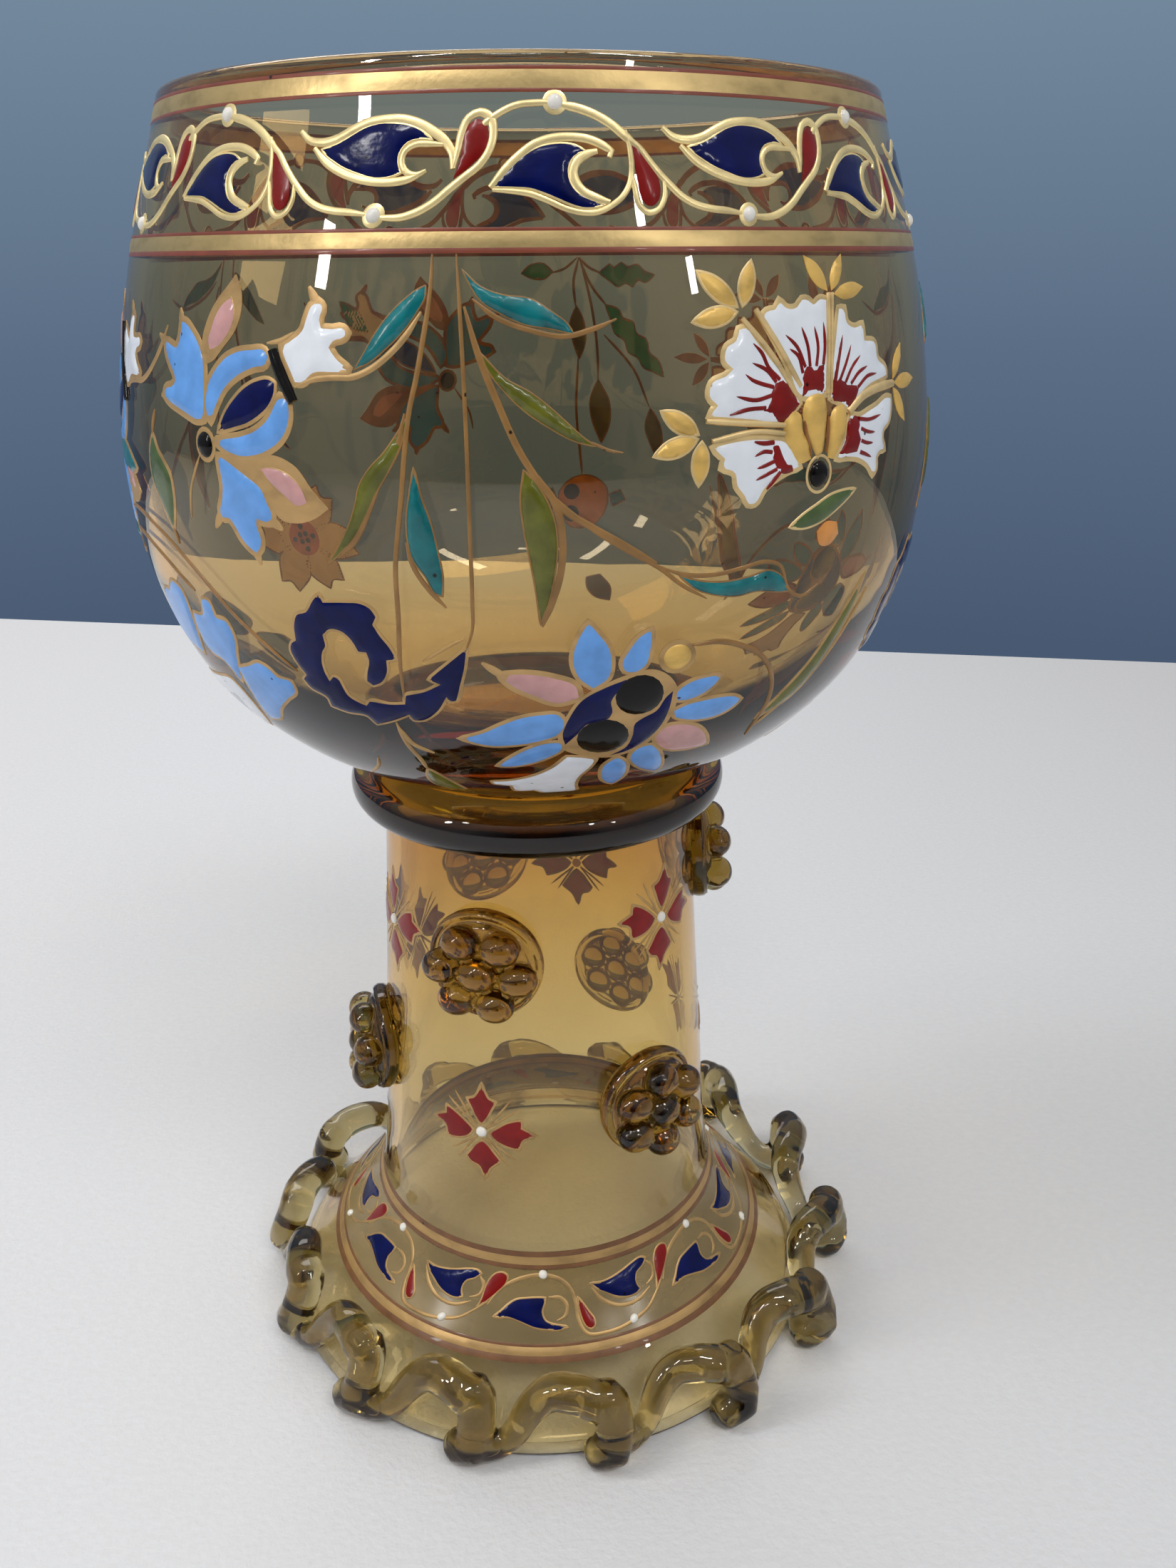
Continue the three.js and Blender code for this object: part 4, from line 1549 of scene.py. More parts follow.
def aster_flower(sheet: PaintSheet) -> None:
    """A flower with a navy body, two black eyes, and long blue and pink rays about it.

    Args:
        sheet: The sheet to draw on, about the front of the bowl.
    """
    gold = Paint.TRACING
    sheet.fill(gold, [
        (9.2, -14.6), (6.4, -15.7), (4, -17.3), (2.7, -19.7), (2, -22.2), (2.3, -24.2), (4.6, -26),
        (7.4, -26.7), (9.2, -26.1), (11.2, -24.4), (12.7, -22), (13.6, -19.3), (13.7, -17.2), (12.4, -15.1),
        (11, -14.4),
    ], 0.03)
    for ray in (
        [(4.8, -8.9), (3.8, -10.8), (3.4, -12.8), (4, -14.8), (5.3, -16.1), (6.7, -15), (7, -13.3),
         (6.7, -11.6), (5.8, -10.2)],
        [(10.75, -10), (9.6, -10.7), (8.6, -12.1), (8, -13.5), (8.3, -14.3), (9.3, -14.5), (10.2, -13.9),
         (10.65, -12.2)],
        [(13.6, -17.6), (14.5, -16.7), (15.9, -16.2), (17.4, -16.1), (18.4, -16.2), (17.6, -17.3),
         (16.2, -18.3), (14.8, -18.7), (13.7, -18.6)],
        [(13.5, -20), (14.8, -19.4), (16.6, -19.15), (18.6, -19.1), (20.2, -19.35), (21.2, -20), (20, -21.1),
         (18.4, -21.8), (16.6, -21.9), (14.8, -21.5), (13.7, -20.9)],
        [(9.6, -26.2), (10.4, -25.3), (11.5, -25.1), (12.4, -26.6), (12.9, -28.8), (13, -31), (12.6, -32.2),
         (11.2, -31), (10, -29.2), (9.4, -27.6)],
        [(8, -26.8), (8.9, -28.2), (9.1, -30.6), (8.7, -33), (7.8, -34.8), (6.9, -33.2), (6.5, -30.8),
         (6.8, -28.4)],
        [(2.4, -23.3), (2.3, -24.6), (1, -26), (-0.8, -27.2), (-2.6, -27.8), (-4, -27.8), (-2.8, -26.1),
         (-1.2, -24.5), (0.8, -23.4)],
        [(2, -19.2), (2.6, -20.3), (2.1, -21.9), (0.4, -22.9), (-1.8, -23.5), (-4.6, -23.7), (-7.5, -22.7),
         (-5.2, -21.7), (-3.4, -20.5), (-1.4, -19.5), (0.4, -19.15)],
    ):
        sheet.petal(Paint.SKY, ray, 0.38)
    sheet.stroke(gold, [(-3.2, -14.2), (-4.9, -12.9)], 0.8, 0.05, fine=(1, 0.3))
    sheet.petal(Paint.PINK, [
        (-3.3, -14.3), (-1.1, -14.15), (1.4, -14.6), (3.7, -15.8), (4, -17.1), (2.2, -17.7), (-0.4, -16.6),
        (-2.2, -15.5),
    ], 0.5)
    sheet.petal(Paint.PINK, [
        (13, -22.2), (14.5, -22.2), (16.5, -23.2), (17.6, -25), (18.1, -27.1), (15.9, -27.3), (13.4, -26.6),
        (12.2, -25.2), (11.85, -23.7),
    ], 0.42)
    sheet.petal(Paint.WHITE, [
        (2.9, -26), (4.4, -26.3), (5.8, -26.9), (5.2, -28.7), (4.2, -30.9), (3.8, -33.4), (4, -36),
        (2.2, -36.2), (0.4, -36.5), (-0.4, -35.1), (-2.4, -35.5), (-2.7, -33.3), (-4.5, -32.9), (-4.7, -32.1),
        (-3.2, -31.8), (-0.7, -30.5), (1.4, -28.4),
    ], 0.35)
    sheet.fill(Paint.NAVY, [
        (8.5, -15.3), (6.5, -16.1), (4.3, -17.5), (3.1, -19.7), (2.45, -22.2), (2.7, -23.7), (3.8, -22.2),
        (4.7, -20.8), (6.9, -20.05), (7.2, -19.3), (7.05, -17.9), (7.95, -16.25),
    ], 0.2, 0.6)
    sheet.fill(Paint.NAVY, [
        (13.2, -17.3), (13, -19.3), (12.1, -22.2), (10.5, -24.4), (8.7, -25.8), (7.2, -26.3), (8.7, -25.1),
        (9.4, -22.9), (9.6, -21.1), (10.3, -20.5), (11.6, -19.7), (12.6, -17.9),
    ], 0.2, 0.6)
    for middle, radius in (((9.85, -17.4), 2.45), ((6.4, -22.9), 2.65)):
        sheet.dot(Paint.BLACK, middle, radius, 0.34, 1.04)
    sheet.dot(Paint.DULL_GOLD, (13.4, -13.3), 1.9, 0.06)
    sheet.dot(Paint.TREFOIL, (13.4, -13.3), 1.45, 0.35)
    sheet.stroke(Paint.STEM, [
        (14.9, -12.2), (17.8, -12.2), (20.6, -13.2), (22.8, -14.6), (24.2, -16.4), (25.1, -19), (25.1, -21.5),
        (24.2, -24.4), (23.4, -27.4),
    ], 0.6)
    sheet.petal(Paint.OLIVE, [
        (24, -24), (27, -20.8), (30.5, -17.2), (34, -12.6), (37.5, -8.3), (35.5, -12.8), (32.5, -17.8),
        (29, -21.6),
    ], 0.4, Paint.DULL_GOLD)
    sheet.stroke(Paint.DULL_GOLD, [(23.6, -26), (27, -22.8), (31, -19.6), (35, -15), (38.6, -10)], 0.45)


def curled_navy_leaf(sheet: PaintSheet) -> None:
    """A curled serrated leaf in navy with gold edges, and a sprig beneath it.

    Args:
        sheet: The sheet to draw on, about the front of the bowl.
    """
    outline = [
        (-6.2, -11.4), (-6.5, -13.5), (-7, -15.5), (-7.5, -17.4), (-8.1, -17.6), (-8.4, -17), (-9.5, -19),
        (-11.2, -20.3), (-11.9, -20.3), (-12.3, -19.6), (-13.8, -20.5), (-15.9, -21.5), (-16.8, -20.4),
        (-19, -20.2), (-20.8, -19.7), (-21, -18.7), (-23, -17.5), (-23.6, -16.6), (-23.1, -16),
        (-24.1, -14.4), (-24.5, -13.2), (-24.2, -12.4), (-23.6, -12), (-23.4, -10), (-23, -9.2),
        (-21.9, -8.8), (-20.9, -7.5), (-20.2, -6.8), (-19.8, -7.6), (-17.5, -7.4), (-15.9, -7.4), (-15, -7.8),
        (-14.5, -8.6), (-14.9, -9.4), (-14.3, -10.5), (-13.5, -11.6), (-12.9, -12.9), (-13.9, -13.1),
        (-14, -14.5), (-14.8, -15.8), (-15.6, -16.2), (-16.2, -15.7), (-16, -14.5), (-15.7, -13.3),
        (-15.9, -12.4), (-16.7, -12.4), (-17.3, -11.2), (-18, -10.5), (-19.5, -10.3), (-20.3, -11),
        (-20.2, -12.2), (-20.6, -12.8), (-20.9, -14), (-20.8, -15.2), (-20.4, -16.3), (-19.9, -15.7),
        (-19.3, -15.8), (-19, -16.8), (-18.6, -17.8), (-17.5, -18.6), (-16.7, -18.9), (-16.3, -18.3),
        (-14, -18.4), (-12.6, -18.2), (-12.4, -17.1), (-10.6, -16.5), (-8.9, -15.5), (-10, -15),
        (-9.2, -14.2), (-7.5, -12.6),
    ]
    sheet.petal(Paint.NAVY, outline, 0.26, Paint.DULL_GOLD, corner=50.0)
    for line, width in (
        ([(-13.8, -20.9), (-13, -24.4), (-11.9, -27.3), (-11.4, -29.6)], 0.5),
        ([(-13.6, -21.6), (-12.2, -24.4), (-10.3, -25.6)], 0.55),
        ([(-6.4, -10.4), (-8.4, -11.6), (-10.4, -13)], 0.35),
        ([(-16.9, -28.2), (-17.3, -30.6), (-18.4, -33), (-19, -34.2)], 0.5),
    ):
        sheet.stroke(Paint.DULL_GOLD, line, width)
    sheet.petal(Paint.OLIVE, [
        (-11.3, -29.6), (-10.2, -31.2), (-9, -33.2), (-7.8, -35.6), (-9.6, -35.9), (-11, -34.5), (-11.6, -32),
    ], 0.3, Paint.DULL_GOLD)


def hanging_leaves(sheet: PaintSheet) -> None:
    """Long leaves on thin brown stems that hang from the rim's frieze.

    Args:
        sheet: The sheet to draw on, about the front of the bowl.
    """
    brown = Paint.STEM
    for line, width in (
        ([(-7.7, 21.9), (-8, 19), (-8.8, 15), (-9.5, 12), (-10.2, 9.5), (-10.8, 6), (-11.3, 2.3),
          (-11.9, -1.3), (-12.2, -3.4), (-12.35, -8.5), (-12.6, -13), (-12.6, -17.8)], 0.45),
        ([(-5.7, 21.9), (-5.55, 16.8), (-5.4, 9.6), (-5.4, -1.3), (-5.45, -6.7), (-5.6, -9.6),
          (-6.3, -11.8)], 0.36),
        ([(-5.2, 17.8), (-4.1, 13.9), (-2.7, 10.3), (-0.9, 6.2), (0.9, 3.4), (2.4, 1.6), (5.3, -0.3),
          (8.2, -2), (11, -3.7)], 0.6),
        ([(2, 2.4), (3.6, 0.9), (6, -1), (8.2, -2.4), (11.4, -4.3), (13.4, -5.9), (16, -7.5)], 0.4),
        ([(11, -3.9), (13, -4.8), (16.3, -5.3), (19.5, -5), (22.4, -4.7), (23.9, -5.2), (25.3, -7.8),
          (27.1, -8.8), (29.3, -7.9)], 0.4),
        ([(-4.5, 18.4), (-2.7, 17), (0.2, 15.9), (3.1, 15.4), (5.3, 15.9), (7.4, 16.7)], 0.45),
        ([(5.2, 6.9), (6.6, 6.2), (7.9, 5.95)], 0.3),
        ([(-10.6, 9.3), (-11.6, 6), (-13.4, 3.2), (-14.6, 0.6), (-15.9, -1.6), (-17.6, -3.2)], 0.55),
        ([(0.6, 4.2), (2, 1.8), (2.6, -1.6), (2.3, -4.6), (1.4, -7.4), (0.7, -9.2)], 0.65),
        ([(-11.1, -1.5), (-10.6, -3.6), (-9.4, -5.6), (-7.8, -7.4)], 0.45),
    ):
        sheet.stroke(brown, line, width, 0.07)
    for paint, margin, outline in (
        (Paint.TURQUOISE, 0.16, [
            (-14.9, 12.8), (-14.1, 13.9), (-13.2, 15.2), (-12, 16.7), (-10.5, 18.1), (-9, 19.15),
            (-8.35, 19.45), (-8.4, 18.7), (-9.1, 17.5), (-10.5, 15.8), (-12, 14.5), (-13.5, 13.4)]),
        (Paint.TURQUOISE, 0.16, [
            (-5.3, 20.7), (-3.75, 19.3), (-1.95, 18.65), (0.2, 18.35), (2, 17.3), (3.4, 16.2), (3.8, 15.55),
            (2, 16), (-0.15, 16.35), (-2.3, 17.3), (-3.75, 18.2), (-4.65, 19.5)]),
        (Paint.OLIVE, 0.16, [
            (-3.9, 14.1), (-1.95, 12.1), (0.05, 11), (1.7, 9.75), (3.1, 8.5), (4.5, 7.25), (5.6, 6.5),
            (3.8, 7), (1.7, 8.1), (-0.5, 9.6), (-2.3, 11.4), (-3.4, 12.8)]),
        (Paint.OLIVE, 0.2, [
            (-10.3, 9.1), (-11.4, 7.55), (-12.6, 6.05), (-14.1, 4.6), (-15.15, 3.05), (-15.6, 1.5),
            (-16.35, -0.25), (-17.7, -2.4), (-18.9, -4), (-17.4, -2.75), (-15.9, -1.2), (-14.7, 0.65),
            (-13.5, 2.75), (-12.3, 4.55), (-11.1, 6.65)]),
        (Paint.TURQUOISE, 0.22, [
            (-10.05, 4.9), (-10.5, 2.7), (-10.9, 0.5), (-10.9, -1.3), (-10.5, -3.1), (-9.5, -4.5),
            (-8.6, -6.1), (-8.1, -6.3), (-8, -4.5), (-8.3, -2.35), (-8.8, 0.2), (-9.5, 2.35)]),
        (Paint.OLIVE, 0.24, [
            (-0.6, 4.7), (-0.9, 2.3), (-0.7, -0.2), (-0.2, -3.1), (0.2, -5.6), (0.55, -9), (1.3, -6.7),
            (1.85, -4.15), (2.1, -1.6), (1.85, 0.5), (0.95, 2.7), (0.05, 4)]),
        (Paint.TURQUOISE, 0.2, [
            (13.1, -5), (15.2, -5.75), (18, -6.1), (20.6, -5.9), (22.8, -5.6), (24.2, -6.3), (25.4, -8),
            (23.8, -7.8), (21.3, -7.4), (19.3, -7.6), (17, -7.25), (14.8, -6.4)]),
    ):
        sheet.petal(paint, outline, 0.6 * margin, brown, 0.3)


def blue_lobed_flower(sheet: PaintSheet) -> None:
    """Blue lobed petals of a flower low on the side of the bowl, and the leaves that go with it.

    Args:
        sheet: The sheet to draw on, about the front of the bowl, far to the left.
    """
    for paint, outline in (
        (Paint.SKY, [
            (-31.8, -25.3), (-29.6, -24.4), (-28.4, -22), (-26.6, -20), (-25.2, -18.6), (-25.4, -17.4),
            (-27.3, -17.1), (-28.2, -16.3), (-29.6, -15.8), (-31.4, -16.6), (-33.6, -17.4), (-33, -20),
            (-32.5, -22.6)]),
        (Paint.SKY, [
            (-34, -19.6), (-33.2, -16), (-32.6, -13), (-33.2, -11.6), (-35, -11.4), (-35.6, -9.8),
            (-36.8, -9.7), (-37.6, -11.6), (-39.8, -11.9), (-40, -14), (-38.6, -16.6), (-36.5, -17)]),
        (Paint.SKY, [
            (-41.4, -17.6), (-40.6, -13), (-41.4, -9.6), (-43.6, -9), (-45.6, -10.4), (-47.4, -10.6),
            (-48, -13.6), (-45.6, -17)]),
        (Paint.SKY, [
            (-40.6, -32), (-47, -29.6), (-53, -27.4), (-58.6, -27.6), (-59.6, -29.2), (-56.6, -31.4),
            (-55, -33.6), (-51.4, -34.4), (-48, -33.4), (-44, -33.2)]),
        (Paint.SKY, [
            (-50.6, -22.4), (-55, -20.6), (-60.5, -17.6), (-65, -17.8), (-66, -20.6), (-64, -23.6),
            (-58, -25.2), (-53, -24.6)]),
        (Paint.WHITE, [
            (-40, -20.6), (-36.6, -20), (-34.2, -22.6), (-33.8, -27), (-37, -30.6), (-43, -29.6),
            (-49, -26.2), (-48.6, -22.6), (-44, -21.6)]),
        (Paint.NAVY, [
            (-40.4, -22.6), (-37.2, -22), (-35.8, -24.2), (-36.4, -27.4), (-39.4, -28.6), (-43.8, -27.6),
            (-46.2, -25.4), (-44, -23.4)]),
        (Paint.WHITE, [(-51, 15.6), (-48, 13.9), (-45.2, 14.3), (-46.6, 12.7), (-48.5, 11.5), (-51, 11)]),
        (Paint.TURQUOISE, [(-48.3, 2), (-52, 3.6), (-57, 4.4), (-62, 3.6), (-57, 1.6), (-52, 1)]),
        (Paint.LEAF_GREEN, [
            (-42.2, 5.9), (-43.1, 4.4), (-43.4, 2.9), (-43, 1.3), (-42, -0.2), (-40.9, -1.6), (-39.9, -2.9),
            (-39.2, -1), (-38.9, 0.9), (-39.1, 2.3), (-40.1, 3.4), (-41.3, 4.4)]),
    ):
        sheet.petal(paint, outline, 0.38, corner=75.0)
    sheet.stroke(Paint.BLACK, [(-51.9, 15.8), (-51.5, 10.8)], 1.1, 0.3, fine=(0.85, 0.85))
    for line in (
        [(-42.2, 5.9), (-41.9, 7), (-41.2, 8.2)], [(-39.9, -2.8), (-39.2, -4.3)],
        [(-58, -3.4), (-52, -2.4), (-46, -3), (-40.5, -4.7), (-36, -7.2), (-31.5, -10.6), (-27, -13.8),
         (-24.2, -15.8)],
        [(-60, -6), (-52, -5), (-44, -6.4), (-38, -9)],
    ):
        sheet.stroke(Paint.STEM, line, 0.45)


def cream_daisy(sheet: PaintSheet) -> None:
    """A small flower with broad cream petals about a red heart with black seeds.

    Args:
        sheet: The sheet to draw on, about its heart.
    """
    for index in range(6):
        turn = radians(60 * index + 15)
        out, side = np.array([cos(turn), sin(turn)]), np.array([-sin(turn), cos(turn)])
        reach = 8.2 + 0.8 * (index % 2)
        shape = [
            out * 2.0 - side * 0.8, out * 5.0 - side * 2.7, out * reach - side * 1.6, out * (reach - 0.9),
            out * reach + side * 1.6, out * 5.0 + side * 2.7, out * 2.0 + side * 0.8,
        ]
        sheet.petal(Paint.CREAM, [tuple(point) for point in shape], 0.22, Paint.STEM, 0.14, corner=80.0)
    sheet.dot(Paint.ROSE, (0, 0), 2.7, 0.2)
    for index in range(8):
        turn = radians(45 * index)
        reach = 0.75 if index % 2 else 1.7
        sheet.dot(Paint.BLACK, (reach * cos(turn), reach * sin(turn)), 0.42, 0.42)


def back_sprig(sheet: PaintSheet) -> None:
    """A hanging sprig on the back: dark green and olive leaves and an orange flower with black seeds.

    Args:
        sheet: The sheet to draw on, about the place where it hangs from the gilt band.
    """
    for line, width in (
        ([(0, 21.7), (-1.4, 20.4), (-3.4, 19.5)], 0.4), ([(0, 21.7), (-1.6, 18), (-4, 15)], 0.4),
        ([(0, 21.7), (0.9, 18.4), (0.7, 14.8)], 0.4), ([(0.2, 21.7), (2.2, 20.2), (4.2, 19.6)], 0.35),
        ([(-0.2, 21.7), (-1.8, 14), (-2.4, 8), (-2.4, 4.4)], 0.4),
        ([(-3.4, 11), (-8, 6), (-10.4, 0.8)], 0.4), ([(0.6, 7.6), (1, 0), (0.4, -6), (0, -9.6)], 0.4),
    ):
        sheet.stroke(Paint.STEM, line, width)
    for paint, outline in (
        (Paint.GREEN, [
            (-3, 19.6), (-4.5, 20.7), (-5.2, 20.2), (-6.3, 20.9), (-7.2, 20.3), (-8.6, 20.6), (-9.6, 19.8),
            (-11.2, 19.3), (-9.8, 18.4), (-8.8, 18.7), (-7.9, 17.8), (-6.8, 18.3), (-5.8, 17.8),
            (-4.6, 18.5)]),
        (Paint.GREEN, [
            (-3.8, 15.2), (-5.6, 14.6), (-6.3, 13.4), (-7.8, 12.8), (-8.3, 11.2), (-9.9, 10.3), (-10.3, 8.6),
            (-11.8, 7.4), (-12.6, 5.2), (-10.8, 6), (-9.6, 6.4), (-8.7, 7.8), (-7.2, 8.6), (-6.6, 10.2),
            (-5.2, 11.2), (-4.6, 13)]),
        (Paint.GREEN, [(4, 19.8), (5.2, 20.8), (6.8, 20.7), (8.4, 19.6), (6.8, 18.9), (5.2, 18.9)]),
        (Paint.GREEN, [(32.2, 12), (33, 14.2), (34.6, 15.6), (36.2, 16.2), (35.6, 14.2), (34.6, 12.6)]),
        (Paint.OLIVE, [(0.6, 15), (1.6, 12.5), (1.2, 10), (0.4, 7.6), (-0.5, 10), (-0.3, 13)]),
        (Paint.OLIVE, [
            (-2.4, 4.5), (-1.2, 1.5), (-1.6, -1.5), (-2.9, -4.5), (-4.1, -1.5), (-4, 1.5)]),
        (Paint.OLIVE, [(-10.6, 0.6), (-9.9, -2), (-10.8, -4.6), (-11.9, -6.5), (-12.5, -4), (-12, -1.5)]),
        (Paint.OLIVE, [(4.6, -11.5), (6.4, -12.6), (6.8, -14.6), (5, -15.4), (4, -13.6)]),
        (Paint.OLIVE, [(-1.6, -26), (-3.6, -25.4), (-5.4, -27.6), (-5.6, -30.2), (-3.4, -29.6),
                       (-1.9, -27.9)]),
        (Paint.ORANGE, [
            (-3.6, -11), (-1.5, -9.6), (1.5, -10), (3.4, -12), (3.2, -15), (1.5, -17.3), (-1.5, -17.2),
            (-3.6, -15)]),
        (Paint.SKY, [(-4.4, -12.4), (-6, -11.6), (-6.8, -13), (-5, -14)]),
    ):
        sheet.petal(paint, outline, 0.2, Paint.STEM, 0.14)
    for middle in ((1.6, -12), (1.6, -15.4)):
        sheet.dot(Paint.BLACK, middle, 1.25, 0.3)


@dataclass
class Decoration:
    """All the gilding and enamel of the glass.

    Attributes:
        rim_middle: Height of the middle of the rim's frieze.
        foot_middle: Height of the middle of the foot's.
        bowl_middle: Height that the bowl's motifs are drawn about.
        rim_waves: How many waves the rim's frieze has, and foot_waves the foot's.
        foils: Azimuth, height and turn of each flower on the stem.
        flowers: The bowl's motifs, each with the azimuth and the rise of every place that it is laid at.
    """

    rim_middle: float = 147.0
    foot_middle: float = 14.0
    bowl_middle: float = 118.0
    rim_waves: int = 8
    foot_waves: int = 7
    rim_bands: Sequence[Band] = (
        Band("rim_gilt_band", 5.25, 6.7, Paint.BAND),
        Band("rim_red_line_above", 6.7, 7.02, Paint.RED_LINE),
        Band("rim_red_line_below", 4.95, 5.25, Paint.RED_LINE),
        Band("bowl_gilt_band", -7.2, -5.9, Paint.BAND),
        Band("bowl_red_line_above", -5.9, -5.6, Paint.RED_LINE),
        Band("bowl_red_line_below", -7.62, -7.2, Paint.RED_LINE),
    )
    foot_bands: Sequence[Band] = (
        Band("foot_upper_gilt_band", 5.2, 6.25, Paint.DULL_GOLD),
        Band("foot_upper_line_above", 6.25, 7.0, Paint.BROWN_LINE),
        Band("foot_upper_line_below", 4.65, 5.2, Paint.BROWN_LINE),
        Band("foot_lower_gilt_band", -5.75, -4.7, Paint.DULL_GOLD),
        Band("foot_lower_line_above", -4.7, -4.3, Paint.BROWN_LINE),
        Band("foot_lower_line_below", -6.6, -5.75, Paint.BROWN_LINE),
        Band("foot_lustre_wash", -4.3, 4.65, Paint.LUSTRE, 0.015),
    )
    foils: Sequence[Point3] = (
        (-21.9, 36.8, 0.0), (46.8, 63.3, -8.0), (-66.2, 61.1, 6.0), (163.6, 55.5, -4.0), (-113.5, 50.5, 4.0),
        (97.0, 42.0, 12.0),
    )
    flowers: Sequence[tuple[Callable[[PaintSheet], None], Sequence[Point]]] = (
        (bell_flower, ((0.0, 0.0), (-123.0, -1.0), (-38.0, -1.5))), (carnation, ((0.0, 0.0), (92.0, -2.0))),
        (aster_flower, ((0.0, 0.0), (92.0, 0.0))), (curled_navy_leaf, ((0.0, 0.0), (92.0, 0.0))),
        (hanging_leaves, ((0.0, 0.0), (92.0, 0.0), (-106.0, 1.0))), (blue_lobed_flower, ((0.0, 0.0),)),
        (cream_daisy, ((-128.6, -15.5),)), (back_sprig, ((169.6, 0.0),)),
    )

    @staticmethod
    def lay(draw: Callable[[PaintSheet], None], form: TurnedForm, places: Iterable[Sequence[float]]) -> None:
        """Draw a motif and lay it at each of its places.

        Args:
            draw: What draws it.
            form: The glass that carries it.
            places: Azimuth and height of each, and its turn and its rise where it has them.
        """
        sheet = PaintSheet()
        draw(sheet)
        for number, place in enumerate(places, 1):
            sheet.lay(f"{draw.__name__}_{number}", form, *place)

    def build(self, bowl: Bowl, stem: StemAndFoot) -> None:
        """Paint the bands on the wheel, then lay the friezes, the stem's flowers and the bowl's.

        Args:
            bowl: The bowl.
            stem: The stem and foot.
        """
        for band in self.rim_bands:
            band.build(bowl, self.rim_middle)
        for band in self.foot_bands:
            band.build(stem, self.foot_middle)
        self.lay(
            rim_frieze, bowl,
            ((360 / self.rim_waves * number, self.rim_middle) for number in range(self.rim_waves)),
        )
        self.lay(
            foot_frieze, stem,
            ((360 / self.foot_waves * number, self.foot_middle) for number in range(self.foot_waves)),
        )
        self.lay(stem_quatrefoil, stem, self.foils)
        for draw, places in self.flowers:
            self.lay(draw, bowl, ((azimuth, self.bowl_middle, 0.0, rise) for azimuth, rise in places))


# Studio


class Reach(Enum):
    """What a lamp does: show through glass, show mirrored, and light matt surfaces."""

    UNMIRRORED = (True, False, True)
    BEHIND = (False, True, True)
    GLINT = (False, True, False)


@dataclass
class Lamp:
    """One soft lamp that looks at the glass.

    Attributes:
        name: Its name.
        place: Its place in metres.
        size: Its width and height in metres.
        power: Its power in watts.
        reach: What it reaches.
        shade: Its colour.
        aim: What it looks at, in metres.
    """

    name: str
    place: Point3
    size: Point
    power: float
    reach: Reach
    shade: Shade = (1.0, 0.985, 0.965)
    aim: Point3 = (0.0, 0.0, 0.08)

    def hang(self) -> None:
        """Hang it in its place."""
        put_down()
        bpy.ops.object.light_add(type="AREA", location=self.place)
        lamp = bpy.context.object
        lamp.name = self.name
        lamp.rotation_euler = (Vector(self.aim) - Vector(self.place)).to_track_quat("-Z", "Y").to_euler()
        lamp.data.shape = "RECTANGLE"
        lamp.data.size, lamp.data.size_y = self.size
        lamp.data.energy = self.power
        lamp.data.color = self.shade
        lamp.visible_camera = False
        lamp.visible_transmission, lamp.visible_glossy, lamp.visible_diffuse = self.reach.value


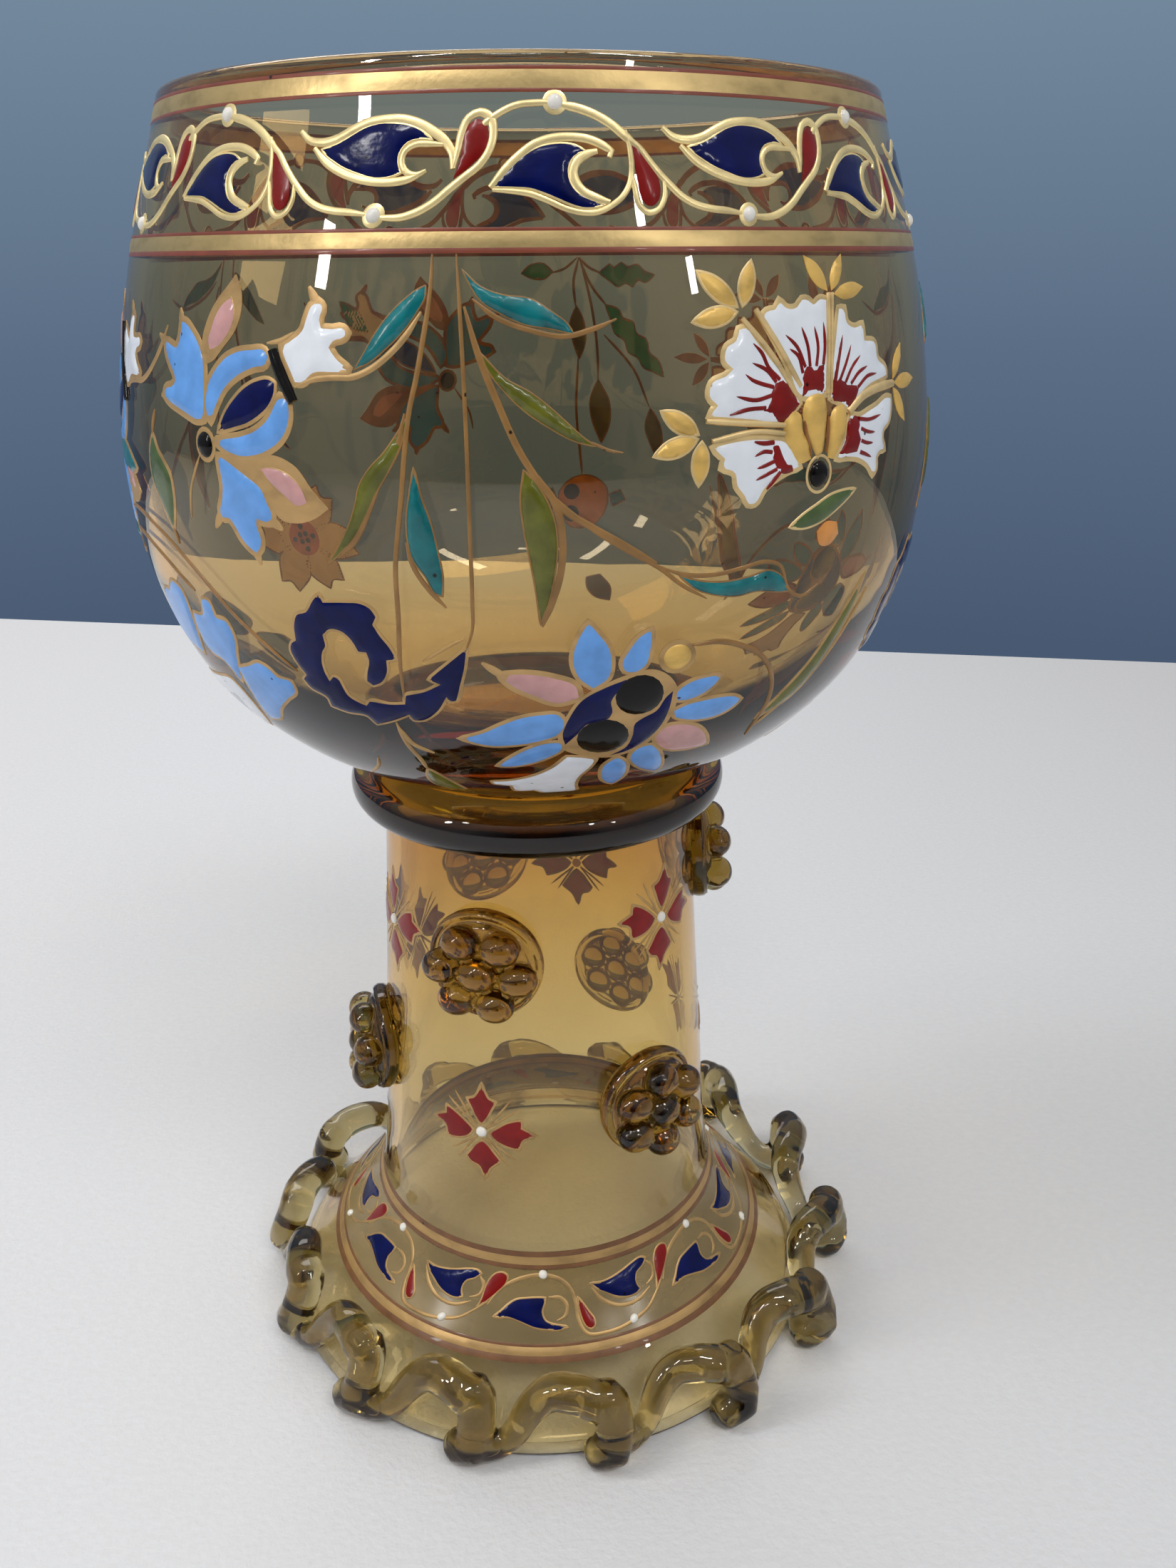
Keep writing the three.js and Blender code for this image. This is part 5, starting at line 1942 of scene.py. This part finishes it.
@dataclass
class Studio:
    """Pale tabletop, blue-grey surroundings, soft light and the camera.

    Attributes:
        eye: The camera's place in millimetres.
        yaw: Its turn to the right in degrees.
        pitch: How far it looks down in degrees.
        roll: Its roll in degrees.
        lens: Its focal length in millimetres on a 36 mm sensor.
        table_back: Two points of the table's back edge in millimetres.
        table_reach: How far the table reaches to each side and to the front, in metres.
        table_level: Height of the tabletop in metres, just clear of the foot.
        room_front: Colours of the room on the viewer's side, from the floor up.
        room_back: Colours of the room behind the glass, from the floor up.
    """

    eye: Point3 = (0.0, -156.47, 139.37)
    yaw: float = 2.369
    pitch: float = 22.11
    roll: float = -0.434
    lens: float = 29.8
    table_back: tuple[Point, Point] = ((-224.6, 386.2), (234.5, 290.9))
    table_reach: float = 1.6
    table_level: float = -0.00005
    room_front: Sequence[Stop] = (
        (0.0, (0.2, 0.2, 0.21)), (0.45, (0.3, 0.305, 0.32)), (0.6, (0.36, 0.37, 0.38)),
        (0.75, (0.48, 0.49, 0.5)), (1.0, (0.56, 0.57, 0.58)),
    )
    room_back: Sequence[Stop] = (
        (0.0, (0.035, 0.055, 0.09)), (0.37, (0.065, 0.1, 0.165)), (0.47, (0.105, 0.155, 0.235)),
        (0.575, (0.17, 0.245, 0.33)), (0.68, (0.34, 0.38, 0.42)), (1.0, (0.6, 0.61, 0.62)),
    )
    lamps: Sequence[Lamp] = (
        Lamp("left_softbox", (-0.85, -0.15, 0.85), (0.3, 1.0), 5.2, Reach.UNMIRRORED),
        Lamp("back_softbox", (-0.25, 0.95, 1.05), (1.1, 0.28), 3.5, Reach.BEHIND),
        Lamp("front_softbox", (0.34, -0.88, 1.22), (0.9, 0.3), 8.7, Reach.UNMIRRORED),
        Lamp("left_window_high", (-0.62, -0.52, 0.78), (0.06, 0.14), 1.1, Reach.GLINT),
        Lamp("left_window_low", (-0.68, -0.44, 0.5), (0.05, 0.13), 0.8, Reach.GLINT),
        Lamp("right_window_high", (0.5, -0.75, 0.72), (0.04, 0.08), 0.5, Reach.GLINT),
        Lamp("right_window_low", (0.62, -0.6, 0.5), (0.03, 0.09), 0.4, Reach.GLINT),
        Lamp("ceiling_lamp_left", (-0.4, -0.45, 1.2), (0.06, 0.4), 4.0, Reach.GLINT),
        Lamp("ceiling_lamp_middle", (-0.05, -0.6, 1.35), (0.3, 0.04), 1.2, Reach.GLINT),
        Lamp("ceiling_lamp_right", (0.4, -0.3, 1.2), (0.06, 0.4), 4.0, Reach.GLINT),
    )

    def camera(self) -> None:
        """Set up the camera at the height and slant of a person who leans over the table."""
        put_down()
        bpy.ops.object.camera_add(location=[value * MM for value in self.eye])
        camera = bpy.context.object
        turn = (
            Matrix.Rotation(-radians(self.yaw), 3, "Z")
            @ Matrix.Rotation(radians(90 - self.pitch), 3, "X")
            @ Matrix.Rotation(radians(self.roll), 3, "Z")
        )
        camera.rotation_euler = turn.to_euler()
        camera.data.lens = self.lens
        camera.data.sensor_width = 36.0
        camera.data.clip_start = 0.01
        bpy.context.scene.camera = camera

    def surroundings(self) -> None:
        """Fill the room with a blue-grey that brightens towards the ceiling and is dim behind the viewer."""
        world = bpy.data.worlds.new("blue_grey_room")
        bpy.context.scene.world = world
        bench = NodeBench(world)
        split = bench.wire(bench.add("ShaderNodeSeparateXYZ"), Vector=bench.coordinates["Generated"]).outputs
        level = bench.spread(split["Z"], of=(-1.0, 1.0))
        front, back = bench.shades(level, *self.room_front), bench.shades(level, *self.room_back)
        dimmed = bench.add("ShaderNodeVectorMath", operation="SCALE")
        bench.wire(dimmed, Vector=front, Scale=bench.spread(split["Y"], (0.1, 1.0), (-0.97, -0.72)))
        walls = bench.add("ShaderNodeMix", data_type="RGBA")
        bench.wire(walls, Factor=bench.spread(split["Y"], of=(-0.1, 0.4)), A=dimmed.outputs["Vector"], B=back)
        glow = bench.wire(bench.add("ShaderNodeBackground"), Color=walls.outputs["Result"])
        bench.wire(bench.add("ShaderNodeOutputWorld"), Surface=glow.outputs["Background"])

    def table(self) -> None:
        """Lay the pale tabletop, whose back edge shows behind the glass."""
        put_down()
        bpy.ops.mesh.primitive_plane_add(size=2.0, location=(0, 0, self.table_level))
        table = bpy.context.object
        table.name = "pale_tabletop"
        apply_place()
        left, right = (Vector((*point, 0.0)) * MM for point in self.table_back)
        along = (right - left).normalized()
        middle = (left + right) / 2
        for vertex in table.data.vertices:
            side = copysign(self.table_reach, vertex.co.x)
            spot = middle + along * side if vertex.co.y > 0 else Vector((side, -self.table_reach, 0.0))
            vertex.co = (spot.x, spot.y, self.table_level)
        bench = MaterialBench("pale_board")
        board = bench.shades(
            bench.noise(700.0, 6.0, (1.0, 1.6, 1.0)), (0.25, (0.95, 0.945, 0.94)), (0.75, CLEAR)
        )
        # The board is painted darker towards the right: painted shade, the fall-off of the light that comes
        # from the left.
        side = bench.along(0, (
            (-350.0, (0.72, 0.705, 0.715)), (-60.0, (0.715, 0.72, 0.74)), (120.0, (0.625, 0.63, 0.645)),
            (350.0, (0.54, 0.52, 0.52)),
        ))
        bench.dress(Base_Color=bench.multiply(board, side), Roughness=0.75, Specular_IOR_Level=0.25)
        bench.relief(bench.noise(1300.0, 5.0), 0.3, 0.5)
        table.data.materials.append(bench.material)

    def build(self) -> None:
        """Set up the whole studio."""
        self.camera()
        self.surroundings()
        self.table()
        for lamp in self.lamps:
            lamp.hang()
        scene = bpy.context.scene
        scene.view_settings.view_transform = "Standard"
        scene.cycles.max_bounces = 28
        scene.cycles.transmission_bounces = 26
        scene.cycles.glossy_bounces = 10
        scene.cycles.blur_glossy = 0.05


def main() -> None:
    """Build the glass, paint it and set it in the studio."""
    Studio().build()
    bowl = Bowl()
    bowl.build()
    Collar().build()
    stem = StemAndFoot()
    stem.build()
    FootThread().build()
    Prunts().build(stem)
    Decoration().build(bowl, stem)
    put_down()


if __name__ == "__main__":
    main()
